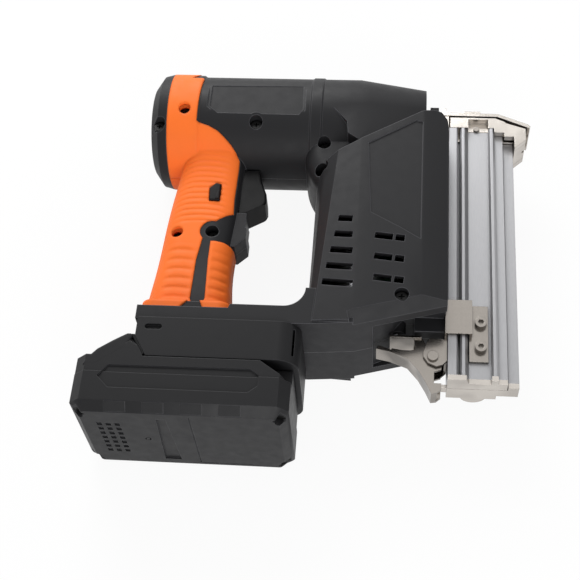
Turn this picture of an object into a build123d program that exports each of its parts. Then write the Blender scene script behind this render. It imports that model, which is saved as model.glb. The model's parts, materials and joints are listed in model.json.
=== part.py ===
"""Cordless brad nailer, built from its separate pieces. Units are millimetres.

The tool lies on its left side. +X is the way the brads leave, +Y runs from the battery
to the top of the barrel, and +Z is up. z = 0 is the surface it lies on, and the origin is
under the middle of its outline. The two housing halves meet on the plane z = mid_z.
"""
from build123d import *
import math
import os

os.makedirs("parts", exist_ok=True)

# ---------------------------------------------------------------- overall frame
mid_z = 36.5                 # height of the mid-plane, and half the thickness of the tool
drive_y = 88.5               # the brads are driven along y = drive_y
wall = 3.0                   # moulded wall of the housing
seat_gap = 0.3               # rest gap between a piece and what carries it
run_fit = 0.05               # radial clearance of a shaft or pin that turns or slides
slide_gap = 0.2              # gap between flat faces that slide

# ---------------------------------------------------------------- housing
barrel_radius = 35.0
collar_radius = 36.0
barrel_back = -96.5
collar_front = -79.0
barrel_front = 60.6
nose_taper_start = 20.0
nose_end_radius = 29.0
band_radius = 35.7
band_back = -10.0
band_front = -2.0
cap_depth = 11.0
head_half = 34.6             # half thickness of the head beside the barrel
head_end_half = 28.8         # the same at the barrel's front

column_left = -4.0
column_right = 74.0
crease_x = 23.0              # where the vented slope meets the flat side of the column
strip_x = 60.0               # where the flat side turns down towards the magazine
strip_half = 32.0
round_low = 0.0              # where the vented side turns down to the hand: x at the column's foot
round_high = 12.0            # and at its top
round_half = 34.0            # half thickness at that turn
column_bevel = 6.5           # bevel along the column's lower edge
plate_top_left = 57.8
plate_top_right = 79.8
column_bottom_left = -66.0
column_bottom_right = -52.0

bulge_radius = 38.0
bulge_half = 25.0
bulge_y = 60.0
bulge_round = 11.0

bridge_half = 33.0
bridge_top = -57.0
bridge_bottom = -68.0
bridge_round = 12.0
foot_left = -96.5
flange_top = -52.0
flange_bottom = -59.5
flange_half = 26.0
flange_right = -46.0

web_front = -45.0            # front edge of the web under the trigger
web_half = 10.0

# Grip sections: height along the tool, back edge, front edge, half thickness.
grip_sections = (
    (67.0, -86.3, -47.4, 24.0),
    (58.5, -87.2, -48.0, 19.2),
    (48.0, -88.4, -48.6, 17.3),
    (30.0, -90.5, -49.0, 17.0),
    (0.0, -93.0, -50.5, 16.5),
    (-25.0, -94.8, -51.0, 16.5),
    (-55.0, -96.8, -51.0, 17.5),
)
grip_corner = 13.0
grip_skin = 1.6              # depth of the soft grip let into the housing
grip_proud = 0.5             # how far it stands out

# ---------------------------------------------------------------- screws
screw_head_radius = 3.3
screw_head_height = 2.4
screw_shank_radius = 1.6
screw_grip = 3.0             # thread below the boss's foot
through_grip = 9.0           # the same for screws that reach the other half
recess_radius = 4.0
boss_wall = 1.8

# Housing screws: x, y, height of the screw's seat and of the boss's foot above the mid-plane.
housing_recesses = (
    (-42.3, 73.0, 26.0, 23.3),
    (-86.5, 79.5, 28.0, 25.3),
    (-0.3, 62.5, 17.5, 14.0),
    (-0.8, 43.7, 8.0, 1.0),
    (-63.3, 2.0, 8.0, 1.0),
    (-84.0, 0.9, 7.0, 1.0),
    (48.8, -49.0, 31.0, 27.5),
)

# ---------------------------------------------------------------- drive
chamber_radius = 25.0
chamber_wall = 2.5
chamber_back = -90.0
chamber_front = -8.0
bore_radius = 17.0
bore_wall = 2.0
bore_back = -80.0
end_wall = 4.0
flange_thickness = 4.0
piston_back = -76.0
piston_length = 10.0
seal_width = 2.4
seal_depth = 1.6
bumper_length = 6.0
stroke = 48.0
blade_y = 85.0               # the blade and the brads run a little under the barrel's axis
blade_half_height = 2.6
blade_half = 0.8
tooth_height = 3.5
tooth_width = 4.0
tooth_pitch = 10.5
tooth_count = 5
first_tooth_x = 13.0
blade_tip = 74.0

# ---------------------------------------------------------------- lifter and gears
lifter_x = 26.0
lifter_y = 65.0
lifter_pin_circle = 14.0
lifter_pin_radius = 2.0
lifter_disc_radius = 17.0
lifter_disc = 2.5
lifter_gap = 4.0             # space between the two discs, which the blade runs in
lifter_pins = 5
shaft_radius = 4.0
gear_module = 2.0
gear_teeth = 26
pinion_teeth = 8
gear_face = 7.0              # length of the teeth along the pitch cone
case_radius = 28.2
case_side = 1.7              # radial wall of the gear case
case_wall = 2.5
case_floor = -16.0           # heights from the mid-plane
case_top = 13.5
bearing_radius = 8.0
bearing_width = 2.5

# ---------------------------------------------------------------- motor
motor_radius = 19.0
motor_bottom = -42.0
motor_top = 10.0
motor_wall = 1.8
gearbox_radius = 16.0
gearbox_top = 30.0
rotor_radius = 12.0
rotor_shaft_radius = 1.6
fan_radius = 15.5
fan_blades = 9
fan_depth = 5.0
fan_gap = 3.0
board_x = 62.0
board_thickness = 1.6
board_half = 31.8
board_bottom = -38.0
board_top = 40.0

# ---------------------------------------------------------------- trigger and lock
trigger_half = 8.8
trigger_pivot_x = -53.5
trigger_pivot_y = 49.0
trigger_pin_radius = 1.5
lock_x = -64.4
lock_y = 29.7
lock_stand = 1.6
lock_travel = 3.0
switch_front = -58.5
switch_depth = 15.0
switch_bottom = 38.5
switch_top = 52.0
switch_half = 8.0

# ---------------------------------------------------------------- battery and its mount
mount_half = 35.0
mount_left = -94.5
mount_right = -5.0
mount_bottom = -92.0
mount_wall = 3.0
mount_corner = 12.0
rail_half = 24.0             # half width of the battery's rail block
rail_neck_half = 20.0
rail_lip = 4.0
battery_left = -125.0
battery_right = -8.0
battery_bottom = -125.0
battery_split = -103.0
battery_top = -93.0
battery_wall = 2.5
cell_radius = 9.2
cell_length = 65.0
cell_count = 5
rail_left = -88.0
rail_right = -14.0
hump_top = -80.3

# ---------------------------------------------------------------- magazine
mag_left = 75.2
mag_right = 114.6
mag_bottom = -87.0
mag_top = 88.2
mag_half = 11.0
cap_thickness = 3.0
part_gap = 0.15              # half the gap between the fixed rail and the sliding cover
brad_length = 30.0
brad_half = 0.5
brad_left = 77.0
brad_bottom = 42.3
channel_half = 0.95
core_half = 5.0              # half thickness of the nose where it reaches down between the rails
core_bottom = 82.0

# ---------------------------------------------------------------- nose
nose_back = 50.9
nose_top = 96.3
muzzle_back = 110.0
muzzle_end = 122.0
trip_end = 125.0
trip_bottom = 96.6
trip_thickness = 2.2
trip_travel = 3.0
tab_left = 71.5
wheel_x = 63.8
wheel_width = 5.2
wheel_radius = 7.0
wheel_y = 104.0
stem_radius = 2.5

# ---------------------------------------------------------------- latch
pin_x = 67.1
pin_y = -71.7
latch_pin_radius = 2.4
lever_half = 6.0
lever_sheet = 1.5
ear_sheet = 1.5
bracket_sheet = 1.5


def level(height):
    """Plane parallel to the mid-plane, at this height above it."""
    return Plane.XY.offset(mid_z + height)


def across_x(x):
    """Plane square to X at x. Its own axes are Y and Z."""
    return Plane.YZ.offset(x)


def across_y(y):
    """Plane square to Y at y. Its own axes are X and Z, and extrudes run towards -Y."""
    return Plane.XZ.offset(-y)


drive_axis = Axis((0, drive_y, mid_z), (1, 0, 0))


# ================================================================ housing forms
def barrel_form(skin):
    """Barrel with its collar, band and tapered nose, drawn in by skin."""
    with BuildPart() as form:
        with BuildSketch(level(0)):
            with BuildLine():
                Polyline(
                    (barrel_back + skin, drive_y),
                    (barrel_back + skin, drive_y + collar_radius - skin),
                    (collar_front - skin, drive_y + collar_radius - skin),
                    (collar_front - skin + 1.5, drive_y + barrel_radius - skin),
                    (band_back, drive_y + barrel_radius - skin),
                    (band_back + 1, drive_y + band_radius - skin),
                    (band_front - 1, drive_y + band_radius - skin),
                    (band_front, drive_y + barrel_radius - skin),
                    (nose_taper_start, drive_y + barrel_radius - skin),
                    (barrel_front - skin, drive_y + nose_end_radius - skin),
                    (barrel_front - skin, drive_y),
                    close=True,
                )
            make_face()
        revolve(axis=drive_axis)
    return form.part


def head_form(skin):
    """Flat-sided head that fills the corner between barrel and column, with a round bulge."""
    half = head_half - skin
    end_half = head_end_half - skin
    with BuildPart() as form:
        with BuildSketch(level(-half)):
            with BuildLine():
                Polyline(
                    (band_front + 2, drive_y),
                    (13 + skin, drive_y - 16),
                    (14 + skin, plate_top_left + 6),
                    (crease_x - 1, plate_top_left - skin),
                    (crease_x + 10, plate_top_left - 10),
                    (strip_x, plate_top_left - 10),
                    (barrel_front - skin, drive_y - 10),
                    (barrel_front - skin, drive_y),
                    close=True,
                )
            make_face()
        extrude(amount=2 * half)
        with BuildSketch(across_y(drive_y + 1)):
            with BuildLine():
                Polyline(
                    (band_front, mid_z + half),
                    (nose_taper_start, mid_z + half),
                    (barrel_front, mid_z + end_half),
                    (barrel_front, mid_z - end_half),
                    (nose_taper_start, mid_z - half),
                    (band_front, mid_z - half),
                    close=True,
                )
            make_face()
        extrude(amount=60, mode=Mode.INTERSECT)
        with BuildPart(mode=Mode.PRIVATE) as bulge:
            with BuildSketch(level(-bulge_half + skin)):
                with Locations((lifter_x, bulge_y)):
                    Circle(bulge_radius - skin)
            extrude(amount=2 * (bulge_half - skin))
            fillet(bulge.edges().filter_by(lambda e: abs(e.tangent_at(0.5).Z) < 0.1), bulge_round - skin)
        add(bulge.part)
    return form.part


def column_section(turn, skin):
    """Cross-section of the column; its vented side turns down to the hand at x = turn."""
    drop = turn - column_left
    right = [
        (column_left, 9),
        (column_left + 0.10 * drop, 19),
        (column_left + 0.38 * drop, 28),
        (turn, round_half),
        (crease_x, mid_z),
        (strip_x, mid_z),
        (column_right, strip_half),
    ]
    with BuildLine() as outline:
        Polyline(
            *[(x, mid_z + z) for x, z in right],
            *[(x, mid_z - z) for x, z in reversed(right)],
            close=True,
        )
    make_face(outline.edges())
    if skin:
        offset(amount=-skin, kind=Kind.INTERSECTION)


def column_form(skin):
    """Front column: a flat side, a vented side that rounds towards the hand and a slope to the magazine."""
    with BuildPart() as form:
        with BuildSketch(level(-mid_z)):
            with BuildLine():
                Polyline(
                    (column_left, bridge_bottom + 2),
                    (crease_x, column_bottom_left),
                    (column_right, column_bottom_right),
                    (column_right, 71.0),
                    (column_right - 0.8, 76.6),
                    (column_right - 4.2, 81.3),
                    (column_right - 8.0, 82.0),
                    (strip_x - 2, plate_top_right),
                    (crease_x - 1.3, plate_top_left),
                    (column_left, plate_top_left - 14),
                    close=True,
                )
            make_face()
            if skin:
                offset(amount=-skin, kind=Kind.INTERSECTION)
        extrude(amount=2 * mid_z)
        with BuildPart(mode=Mode.PRIVATE) as envelope:
            with BuildSketch(across_y(bridge_bottom - 10)):
                column_section(round_low, skin)
            with BuildSketch(across_y(plate_top_right + 10)):
                column_section(round_high, skin)
            loft(ruled=True)
        add(envelope.part, mode=Mode.INTERSECT)
        # Bevel along the lower edges, from the bridge to the magazine
        run = Vector(column_right - crease_x, column_bottom_right - column_bottom_left, 0).normalized()
        rise = Vector(-run.Y, run.X, 0)
        for side in (-1, 1):
            start = Vector(crease_x, column_bottom_left, mid_z) - 2 * run
            edge = Plane(origin=start, x_dir=rise, z_dir=run)
            with BuildSketch(edge):
                with BuildLine():
                    Polyline(
                        (-3, side * (mid_z - column_bevel - 3 - 1.4 * skin)),
                        (column_bevel + 3 + 1.4 * skin, side * (mid_z + 3)),
                        (-3, side * (mid_z + 3)),
                        close=True,
                    )
                make_face()
            extrude(amount=60, mode=Mode.SUBTRACT)
    return form.part


def grip_form(skin):
    """Grip lofted through its sections, drawn in by skin."""
    with BuildPart() as form:
        for y, back, front, half in grip_sections:
            with BuildSketch(across_y(y)):
                with Locations(((back + front) / 2, mid_z)):
                    RectangleRounded(front - back - 2 * skin, 2 * (half - skin), grip_corner - skin)
        loft()
    return form.part


def foot_form(skin):
    """Flared foot of the grip and the bridge that joins it to the column."""
    with BuildPart() as form:
        with BuildSketch(across_y(flange_top - skin)):
            with Locations(((foot_left + flange_right) / 2, mid_z)):
                RectangleRounded(
                    flange_right - foot_left - 2 * skin, 2 * (flange_half - skin), 8.0 - skin / 2
                )
        extrude(amount=flange_top - flange_bottom)
        with BuildSketch(level(-bridge_half + skin)):
            with BuildLine():
                Polyline(
                    (column_left + skin, bridge_top + bridge_round),
                    (crease_x, bridge_top + bridge_round),
                    (crease_x, column_bottom_left + skin),
                    (column_left, bridge_bottom + skin),
                    (foot_left + skin, bridge_bottom + skin),
                    (foot_left + skin, flange_bottom - skin),
                    (flange_right, flange_bottom - skin),
                    (flange_right + 1, bridge_top - skin),
                    (column_left - bridge_round, bridge_top - skin),
                )
                RadiusArc(
                    (column_left - bridge_round, bridge_top - skin),
                    (column_left + skin, bridge_top + bridge_round),
                    -(bridge_round + skin),
                )
            make_face()
        extrude(amount=2 * (bridge_half - skin))
    return form.part


def web_form(skin):
    """Web under the trigger, between grip and finger."""
    with BuildPart() as form:
        with BuildSketch(level(-web_half + skin)):
            with BuildLine():
                Polyline(
                    (-62, 20),
                    (web_front - skin, 20),
                    (web_front - skin, 10),
                    (web_front + 1 - skin, 9),
                    (web_front + 1 - skin, 2 + skin),
                    (-50, -4 + skin),
                    (-62, -4 + skin),
                    close=True,
                )
            make_face()
        extrude(amount=2 * (web_half - skin))
    return form.part


def housing_form(skin):
    """The whole housing, both halves, drawn in by skin."""
    with BuildPart() as form:
        add(barrel_form(skin))
        add(head_form(skin))
        add(column_form(skin))
        add(grip_form(skin))
        add(foot_form(skin))
        add(web_form(skin))
    return form.part


outer_form = housing_form(0)
inner_form = housing_form(wall)


# ================================================================ housing details
label_outline = ((26.8, 55.1), (54.4, 72.6), (58.5, 71.4), (58.5, -12.5), (47.0, -5.0), (30.0, 4.9))
label_depth = 0.8
panel_outline = ((-71.4, 99.3), (-14.8, 100.0), (-14.1, 81.2), (-16.5, 77.7), (-66.4, 78.0), (-71.5, 82.6))
panel_height = 32.9
panel_frame = 33.8
vent_height = 4.4
vent_floor = 12.0
slope_vents = 5
slope_vent_top = 0.75
slope_vent_pitch = 10.75
slope_vent_right = 19.8
slope_vent_shift = 0.5
slope_vent_length = 8.2
slope_vent_growth = 2.25
slope_vent_lean = -7.0
side_vents = 3
side_vent_top = -11.3
side_vent_pitch = 13.9
side_vent_lean = -6.0
rib_places = (-70.0, -30.0)
rib_width = 2.5
latch_pocket = ((32.5, -72), (34, -60.5), (42.6, -56.6), (50, -47), (80, -47), (80, -72))
latch_pocket_half = 24.0
lug_left = 56.6
lug_bottom = -56.0
lug_half = 8.0
stem_rib_x = 28.0
boss_x = 47.4
boss_radius = 4.5
boss_bottom = -54.6
web_recess = 73.2
pin_boss_radius = 3.5
pin_reach = 10.6
lock_outline = ((-64.2, 36.0), (-61.0, 35.2), (-61.0, 23.2), (-67.2, 23.4), (-67.8, 32.2))
rear_grip_outline = (
    (-112, 130), (-82, 130), (-82, 112), (-85.4, 107.4), (-77.7, 106.6), (-78.8, 72.1), (-71.4, 70.1),
    (-65.7, 67.6), (-61.6, 64.7), (-57.3, 61.3), (-54.1, 58.2), (-52.1, 55.0), (-52.8, 27.4), (-52.4, 17.2),
    (-62.8, 8.1),
    (-67.7, 2.3), (-70.5, -18.2), (-70.8, -45.4), (-69, -50), (-76, -58), (-112, -59),
)
front_grip_outline = (
    (-63.4, -5), (-55.1, -4.7), (-45, -6), (-40, -20), (-40, -50), (-46.9, -58.5), (-60.5, -58.5),
    (-64, -50), (-62.3, -45), (-63.5, -18),
)
grip_edge_gap = 0.1
soft_hole = 3.6              # hole in the soft grip over a screw's recess
soft_hole_spots = (housing_recesses[1][:2], housing_recesses[5][:2])


def polygon(points, grow=0):
    """Filled outline through these points, widened by grow, in the sketch that is open."""
    with BuildLine() as outline:
        Polyline(*points, close=True)
    make_face(outline.edges())
    if grow:
        offset(amount=grow, kind=Kind.INTERSECTION)


def box(x, y, z, mode=Mode.ADD):
    """Block between pairs of limits in x, y and height above the mid-plane."""
    with BuildSketch(level(z[0])) as outline:
        with Locations(((x[0] + x[1]) / 2, (y[0] + y[1]) / 2)):
            Rectangle(x[1] - x[0], y[1] - y[0])
    extrude(outline.sketch, amount=z[1] - z[0], mode=mode)


def disc(plane, spot, radius, depth, inner=0, mode=Mode.ADD):
    """Disc or ring on this plane, around a spot in the plane's own axes."""
    with BuildSketch(plane) as outline:
        with Locations(spot):
            Circle(radius)
            if inner:
                Circle(inner, mode=Mode.SUBTRACT)
    extrude(outline.sketch, amount=depth, mode=mode)


def hand_form(skin):
    """The part of the housing that the soft grips cover, drawn in by skin."""
    with BuildPart() as form:
        add(barrel_form(skin))
        add(grip_form(skin))
        add(foot_form(skin))
        add(web_form(skin))
    return form.part


def save(form, name):
    """Label a finished piece and write it as its own file."""
    form.part.label = name
    export_step(form.part, "parts/" + name + ".step")


soft_outside = hand_form(-grip_proud)
soft_inside = hand_form(grip_skin - grip_edge_gap)
recess_floor = hand_form(grip_skin)

with BuildPart() as grip_recess:
    add(soft_outside)
    add(recess_floor, mode=Mode.SUBTRACT)
    with BuildSketch(level(-mid_z - 5)):
        polygon(rear_grip_outline, grip_edge_gap)
        polygon(front_grip_outline, grip_edge_gap)
        with Locations(housing_recesses[4][:2]):
            Circle(7, mode=Mode.SUBTRACT)
    extrude(amount=2 * mid_z + 10, mode=Mode.INTERSECT)

with BuildPart() as grip_band:
    add(soft_outside)
    add(soft_inside, mode=Mode.SUBTRACT)

grip_halves = {}
for name, outline in (("rear_grip", rear_grip_outline), ("front_grip", front_grip_outline)):
    with BuildPart() as grip_piece:
        add(grip_band.part)
        with BuildSketch(level(grip_edge_gap / 2)):
            polygon(outline)
            with Locations(housing_recesses[4][:2]):
                Circle(7 + grip_edge_gap, mode=Mode.SUBTRACT)
        extrude(amount=mid_z + 5, mode=Mode.INTERSECT)
        with BuildSketch(level(0)):
            polygon(lock_outline, slide_gap)
        extrude(amount=mid_z, mode=Mode.SUBTRACT)
    with BuildPart() as grip_mirror:
        mirror(grip_piece.part, about=level(0))
    save(grip_mirror, name + "_left")
    with BuildPart() as grip_drilled:
        add(grip_piece.part)
        for spot in soft_hole_spots:
            disc(level(-1), spot, soft_hole, mid_z + 6, mode=Mode.SUBTRACT)
    save(grip_drilled, name + "_right")

with BuildPart() as screw_bosses:
    for side in (-1, 1):
        disc(
            level(side * (trigger_half + seat_gap)), (trigger_pivot_x, trigger_pivot_y),
            pin_boss_radius, side * 6,
        )
        for x, y, seat, foot in housing_recesses:
            if side == 1 or foot < 2:
                disc(level(side * foot), (x, y), recess_radius + boss_wall, side * (mid_z + 1 - foot))
    add(outer_form, mode=Mode.INTERSECT)

with BuildPart() as housing_shell:
    add(outer_form)
    add(inner_form, mode=Mode.SUBTRACT)
    # Rings that hold the air chamber
    for x in rib_places:
        with BuildSketch(across_x(x)):
            with Locations((drive_y, mid_z)):
                Circle(barrel_radius - wall + 1)
                Circle(chamber_radius + seat_gap, mode=Mode.SUBTRACT)
        extrude(amount=rib_width)
    # Rib that the spring of the contact trip pushes against
    box((stem_rib_x - rib_width / 2, stem_rib_x + rib_width / 2), (wheel_y - 5, 121), (-lug_half, lug_half))
    # Ribs that carry the trigger switch and the trigger's spring
    with BuildSketch(level(-15)):
        polygon(((-57.6, 27), (-56, 27), (-56, 38.2), (-72, 38.2), (-72, 36.9), (-57.6, 36.9)))
    extrude(amount=30)
    # Roof of the latch pocket
    with BuildSketch(level(-latch_pocket_half - wall)):
        roof_back = ((column_right - 1, -47), (column_right - 1, -44), (48, -44), (42, -54), (32, -57))
        polygon(latch_pocket[1:4] + roof_back)
    extrude(amount=2 * (latch_pocket_half + wall))
    with BuildSketch(level(-latch_pocket_half)):
        polygon(latch_pocket)
    extrude(amount=2 * latch_pocket_half, mode=Mode.SUBTRACT)
    # Lug that carries the foot of the magazine, and the seat of the latch's spring
    box((lug_left, web_recess), (lug_bottom, -45), (-lug_half, lug_half))
    with BuildSketch(across_y(-46)):
        with Locations((boss_x, mid_z)):
            Circle(boss_radius)
    extrude(amount=-46 - boss_bottom)
    # Pocket of the trigger, slot of the nose and recess of the latch bracket
    pocket_half = trigger_half + seat_gap
    box((-56, -30), (19, 53.6), (-pocket_half, pocket_half), Mode.SUBTRACT)
    with BuildSketch(across_x(barrel_front - 6)):
        with Locations(((79 + nose_top) / 2, mid_z)):
            Rectangle(nose_top - 79 + 2 * seat_gap, 2 * (12 + seat_gap))
        with Locations((wheel_y, mid_z)):
            Circle(stem_radius + seat_gap)
    extrude(amount=30, mode=Mode.SUBTRACT)
    box((web_recess, 76), (-60, -37), (-13, 13), Mode.SUBTRACT)
    with BuildSketch(level(-barrel_radius)):
        polygon(lock_outline, slide_gap)
    extrude(amount=2 * barrel_radius, mode=Mode.SUBTRACT)
    for side in (-1, 1):
        # Recessed places on the column and on the barrel
        with BuildSketch(level(side * mid_z)):
            polygon(label_outline)
        extrude(amount=-side * label_depth, mode=Mode.SUBTRACT)
        with BuildSketch(level(side * mid_z)):
            polygon(panel_outline)
        extrude(amount=-side * (mid_z - panel_height), mode=Mode.SUBTRACT)
        with BuildSketch(level(side * mid_z)):
            polygon(panel_outline, 1.5)
        extrude(amount=-side * (mid_z - panel_frame), mode=Mode.SUBTRACT)
        # Vents in the slope beside the hand and in the flat side
        with BuildSketch(level(side * mid_z)):
            for row in range(slope_vents):
                length = slope_vent_length + slope_vent_growth * row
                x = slope_vent_right + slope_vent_shift * row - length / 2
                with Locations(Location((x, slope_vent_top - slope_vent_pitch * row), slope_vent_lean)):
                    Rectangle(length, vent_height)
            for row in range(side_vents):
                y = side_vent_top - side_vent_pitch * row
                with Locations(Location((37.9, y), side_vent_lean)):
                    Rectangle(10.2, vent_height)
                with Locations(Location((47.0, y - 0.9), side_vent_lean)):
                    Rectangle(5.2, vent_height)
        extrude(amount=-side * (mid_z - vent_floor), mode=Mode.SUBTRACT)
    add(screw_bosses.part)
    # Holes for the trigger's pin
    disc(
        level(-pin_reach - 0.1), (trigger_pivot_x, trigger_pivot_y),
        trigger_pin_radius + run_fit, 2 * pin_reach + 0.2, mode=Mode.SUBTRACT,
    )
    add(grip_recess.part, mode=Mode.SUBTRACT)

with BuildPart() as housing_right:
    add(housing_shell.part)
    split(bisect_by=level(0), keep=Keep.TOP)
    for x, y, seat, foot in housing_recesses:
        with BuildSketch(level(seat)):
            with Locations((x, y)):
                Circle(recess_radius)
        extrude(amount=mid_z - seat + 5, mode=Mode.SUBTRACT)
        with BuildSketch(level(foot - screw_grip - 1)):
            with Locations((x, y)):
                Circle(screw_shank_radius + run_fit)
        extrude(amount=seat - foot + screw_grip + 1, mode=Mode.SUBTRACT)

with BuildPart() as housing_left:
    add(housing_shell.part)
    split(bisect_by=level(0), keep=Keep.BOTTOM)
    for x, y, seat, foot in housing_recesses:
        if foot < 2:
            with BuildSketch(level(-foot - through_grip)):
                with Locations((x, y)):
                    Circle(screw_shank_radius + run_fit)
            extrude(amount=through_grip + 1, mode=Mode.SUBTRACT)

save(housing_right, "housing_right")
save(housing_left, "housing_left")

# ================================================================ rear cap and screws
cap_back = -108.0
cap_front = -97.1
cap_edge_radius = 28.0
cap_bevel_x = -103.0
cap_screw_x = -101.9
cap_screw_y = 70.7
cap_screw_seat = 25.0

with BuildPart() as rear_cap:
    with BuildSketch(level(0)):
        with BuildLine():
            Polyline(
                (cap_front, drive_y),
                (cap_front, drive_y + collar_radius + grip_proud),
                (cap_bevel_x, drive_y + collar_radius - 1),
                (cap_back, drive_y + cap_edge_radius),
                (cap_back, drive_y),
                close=True,
            )
        make_face()
    revolve(axis=drive_axis)
    with BuildSketch(across_x(cap_front)):
        with Locations((drive_y, mid_z)):
            Circle(cap_edge_radius - wall)
    extrude(amount=cap_back - cap_front + wall, mode=Mode.SUBTRACT)
    for side in (-1, 1):
        with BuildSketch(level(side * cap_screw_seat)):
            with Locations((cap_screw_x, cap_screw_y)):
                Circle(recess_radius)
        extrude(amount=side * 20, mode=Mode.SUBTRACT)
        with BuildSketch(level(side * (cap_screw_seat - 6))):
            with Locations((cap_screw_x, cap_screw_y)):
                Circle(screw_shank_radius + run_fit)
        extrude(amount=side * 6, mode=Mode.SUBTRACT)
save(rear_cap, "rear_cap")


def screw(x, y, seat, tip, up=1):
    """Pan-head screw along Z from its seat to its tip. up is -1 when the head faces down."""
    disc(level(up * seat), (x, y), screw_head_radius, up * screw_head_height)
    disc(level(up * tip), (x, y), screw_shank_radius, up * (seat - tip))
    with BuildSketch(level(up * (seat + screw_head_height))) as cross:
        with Locations((x, y)):
            Rectangle(3.4, 0.8)
            Rectangle(0.8, 3.4)
    extrude(cross.sketch, amount=-up * 1.4, mode=Mode.SUBTRACT)


with BuildPart() as rear_cap_screws:
    screw(cap_screw_x, cap_screw_y, cap_screw_seat, cap_screw_seat - 5.5)
    screw(cap_screw_x, cap_screw_y, cap_screw_seat, cap_screw_seat - 5.5, -1)
save(rear_cap_screws, "rear_cap_screws")

with BuildPart() as housing_screws:
    for x, y, seat, foot in housing_recesses:
        screw(x, y, seat, foot - (screw_grip if foot > 2 else through_grip))
save(housing_screws, "housing_screws")

# ================================================================ drive
lug_radius = 3.6

with BuildPart() as air_chamber:
    with BuildSketch(across_x(chamber_back)):
        with Locations((drive_y, mid_z)):
            Circle(chamber_radius)
    extrude(amount=chamber_front - chamber_back)
    for x, y, seat, foot in housing_recesses[:2]:
        with BuildSketch(level(10)):
            with Locations((x, y)):
                Circle(lug_radius)
        extrude(amount=foot - seat_gap - 10)
    with BuildSketch(across_x(chamber_back + chamber_wall)):
        with Locations((drive_y, mid_z)):
            Circle(chamber_radius - chamber_wall)
    extrude(amount=chamber_front - chamber_back, mode=Mode.SUBTRACT)
    for x, y, seat, foot in housing_recesses[:2]:
        with BuildSketch(level(foot - screw_grip - 0.2)):
            with Locations((x, y)):
                Circle(screw_shank_radius + run_fit)
        extrude(amount=10, mode=Mode.SUBTRACT)
save(air_chamber, "air_chamber")

blade_bottom = blade_y - blade_half_height
slot_bottom = blade_bottom - tooth_height - seat_gap
slot_top = blade_y + blade_half_height + seat_gap
slot_half = blade_half + seat_gap


def blade_slot(start, end):
    """Slot along X that the driver blade and its teeth run through."""
    box((start, end), (slot_bottom, slot_top), (-slot_half, slot_half), Mode.SUBTRACT)


with BuildPart() as cylinder:
    with BuildSketch(across_x(bore_back)):
        with Locations((drive_y, mid_z)):
            Circle(bore_radius + bore_wall)
    extrude(amount=chamber_front - bore_back)
    with BuildSketch(across_x(chamber_front)):
        with Locations((drive_y, mid_z)):
            Circle(chamber_radius)
    extrude(amount=flange_thickness)
    with BuildSketch(across_x(bore_back)):
        with Locations((drive_y, mid_z)):
            Circle(bore_radius)
    extrude(amount=chamber_front - end_wall - bore_back, mode=Mode.SUBTRACT)
    blade_slot(chamber_front - end_wall, 0)
save(cylinder, "cylinder")

bumper_front = chamber_front - end_wall
with BuildPart() as bumper:
    with BuildSketch(across_x(bumper_front - bumper_length)):
        with Locations((drive_y, mid_z)):
            Circle(bore_radius - run_fit)
    extrude(amount=bumper_length)
    blade_slot(bumper_front - bumper_length, bumper_front)
save(bumper, "bumper")

piston_front = piston_back + piston_length
groove_back = (piston_back + piston_front - seal_width) / 2
with BuildPart() as piston:
    with BuildSketch(across_x(piston_back)):
        with Locations((drive_y, mid_z)):
            Circle(bore_radius - run_fit)
    extrude(amount=piston_length)
    with BuildSketch(across_x(groove_back)):
        with Locations((drive_y, mid_z)):
            Circle(bore_radius)
            Circle(bore_radius - seal_depth, mode=Mode.SUBTRACT)
    extrude(amount=seal_width, mode=Mode.SUBTRACT)
    with BuildSketch(across_x(piston_front - 4.3)):
        with Locations((blade_y, mid_z)):
            Rectangle(2 * blade_half_height + 0.4, 2 * blade_half + 0.4)
    extrude(amount=4.3, mode=Mode.SUBTRACT)
save(piston, "piston")

with BuildPart() as piston_seal:
    with BuildSketch(across_x(groove_back + 0.1)):
        with Locations((drive_y, mid_z)):
            Circle(bore_radius - run_fit / 2)
            Circle(bore_radius - seal_depth + 0.1, mode=Mode.SUBTRACT)
    extrude(amount=seal_width - 0.2)
save(piston_seal, "piston_seal")

with BuildPart() as driver_blade:
    with BuildSketch(level(-blade_half)):
        with BuildLine():
            Polyline(
                (piston_front - 4, blade_bottom),
                (blade_tip, blade_bottom),
                (blade_tip, blade_y + blade_half_height),
                (piston_front - 4, blade_y + blade_half_height),
                close=True,
            )
        make_face()
        for tooth in range(tooth_count):
            with Locations((first_tooth_x - tooth_pitch * tooth, blade_bottom - tooth_height / 2 + 0.5)):
                Trapezoid(tooth_width, tooth_height + 1, 80, rotation=180)
    extrude(amount=2 * blade_half)
save(driver_blade, "driver_blade")

# ================================================================ lifter and gears
neck_radius = 13.0
pinion_bore = 10.4
pinion_shaft_radius = 3.0
gear_reach = gear_module * gear_teeth / 2        # pitch radius of the gear
pinion_reach = gear_module * pinion_teeth / 2    # pitch radius of the pinion
small_end = 1 - gear_face / math.hypot(gear_reach, pinion_reach)
backlash = 0.6
cover_bottom = case_top - case_wall

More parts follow.
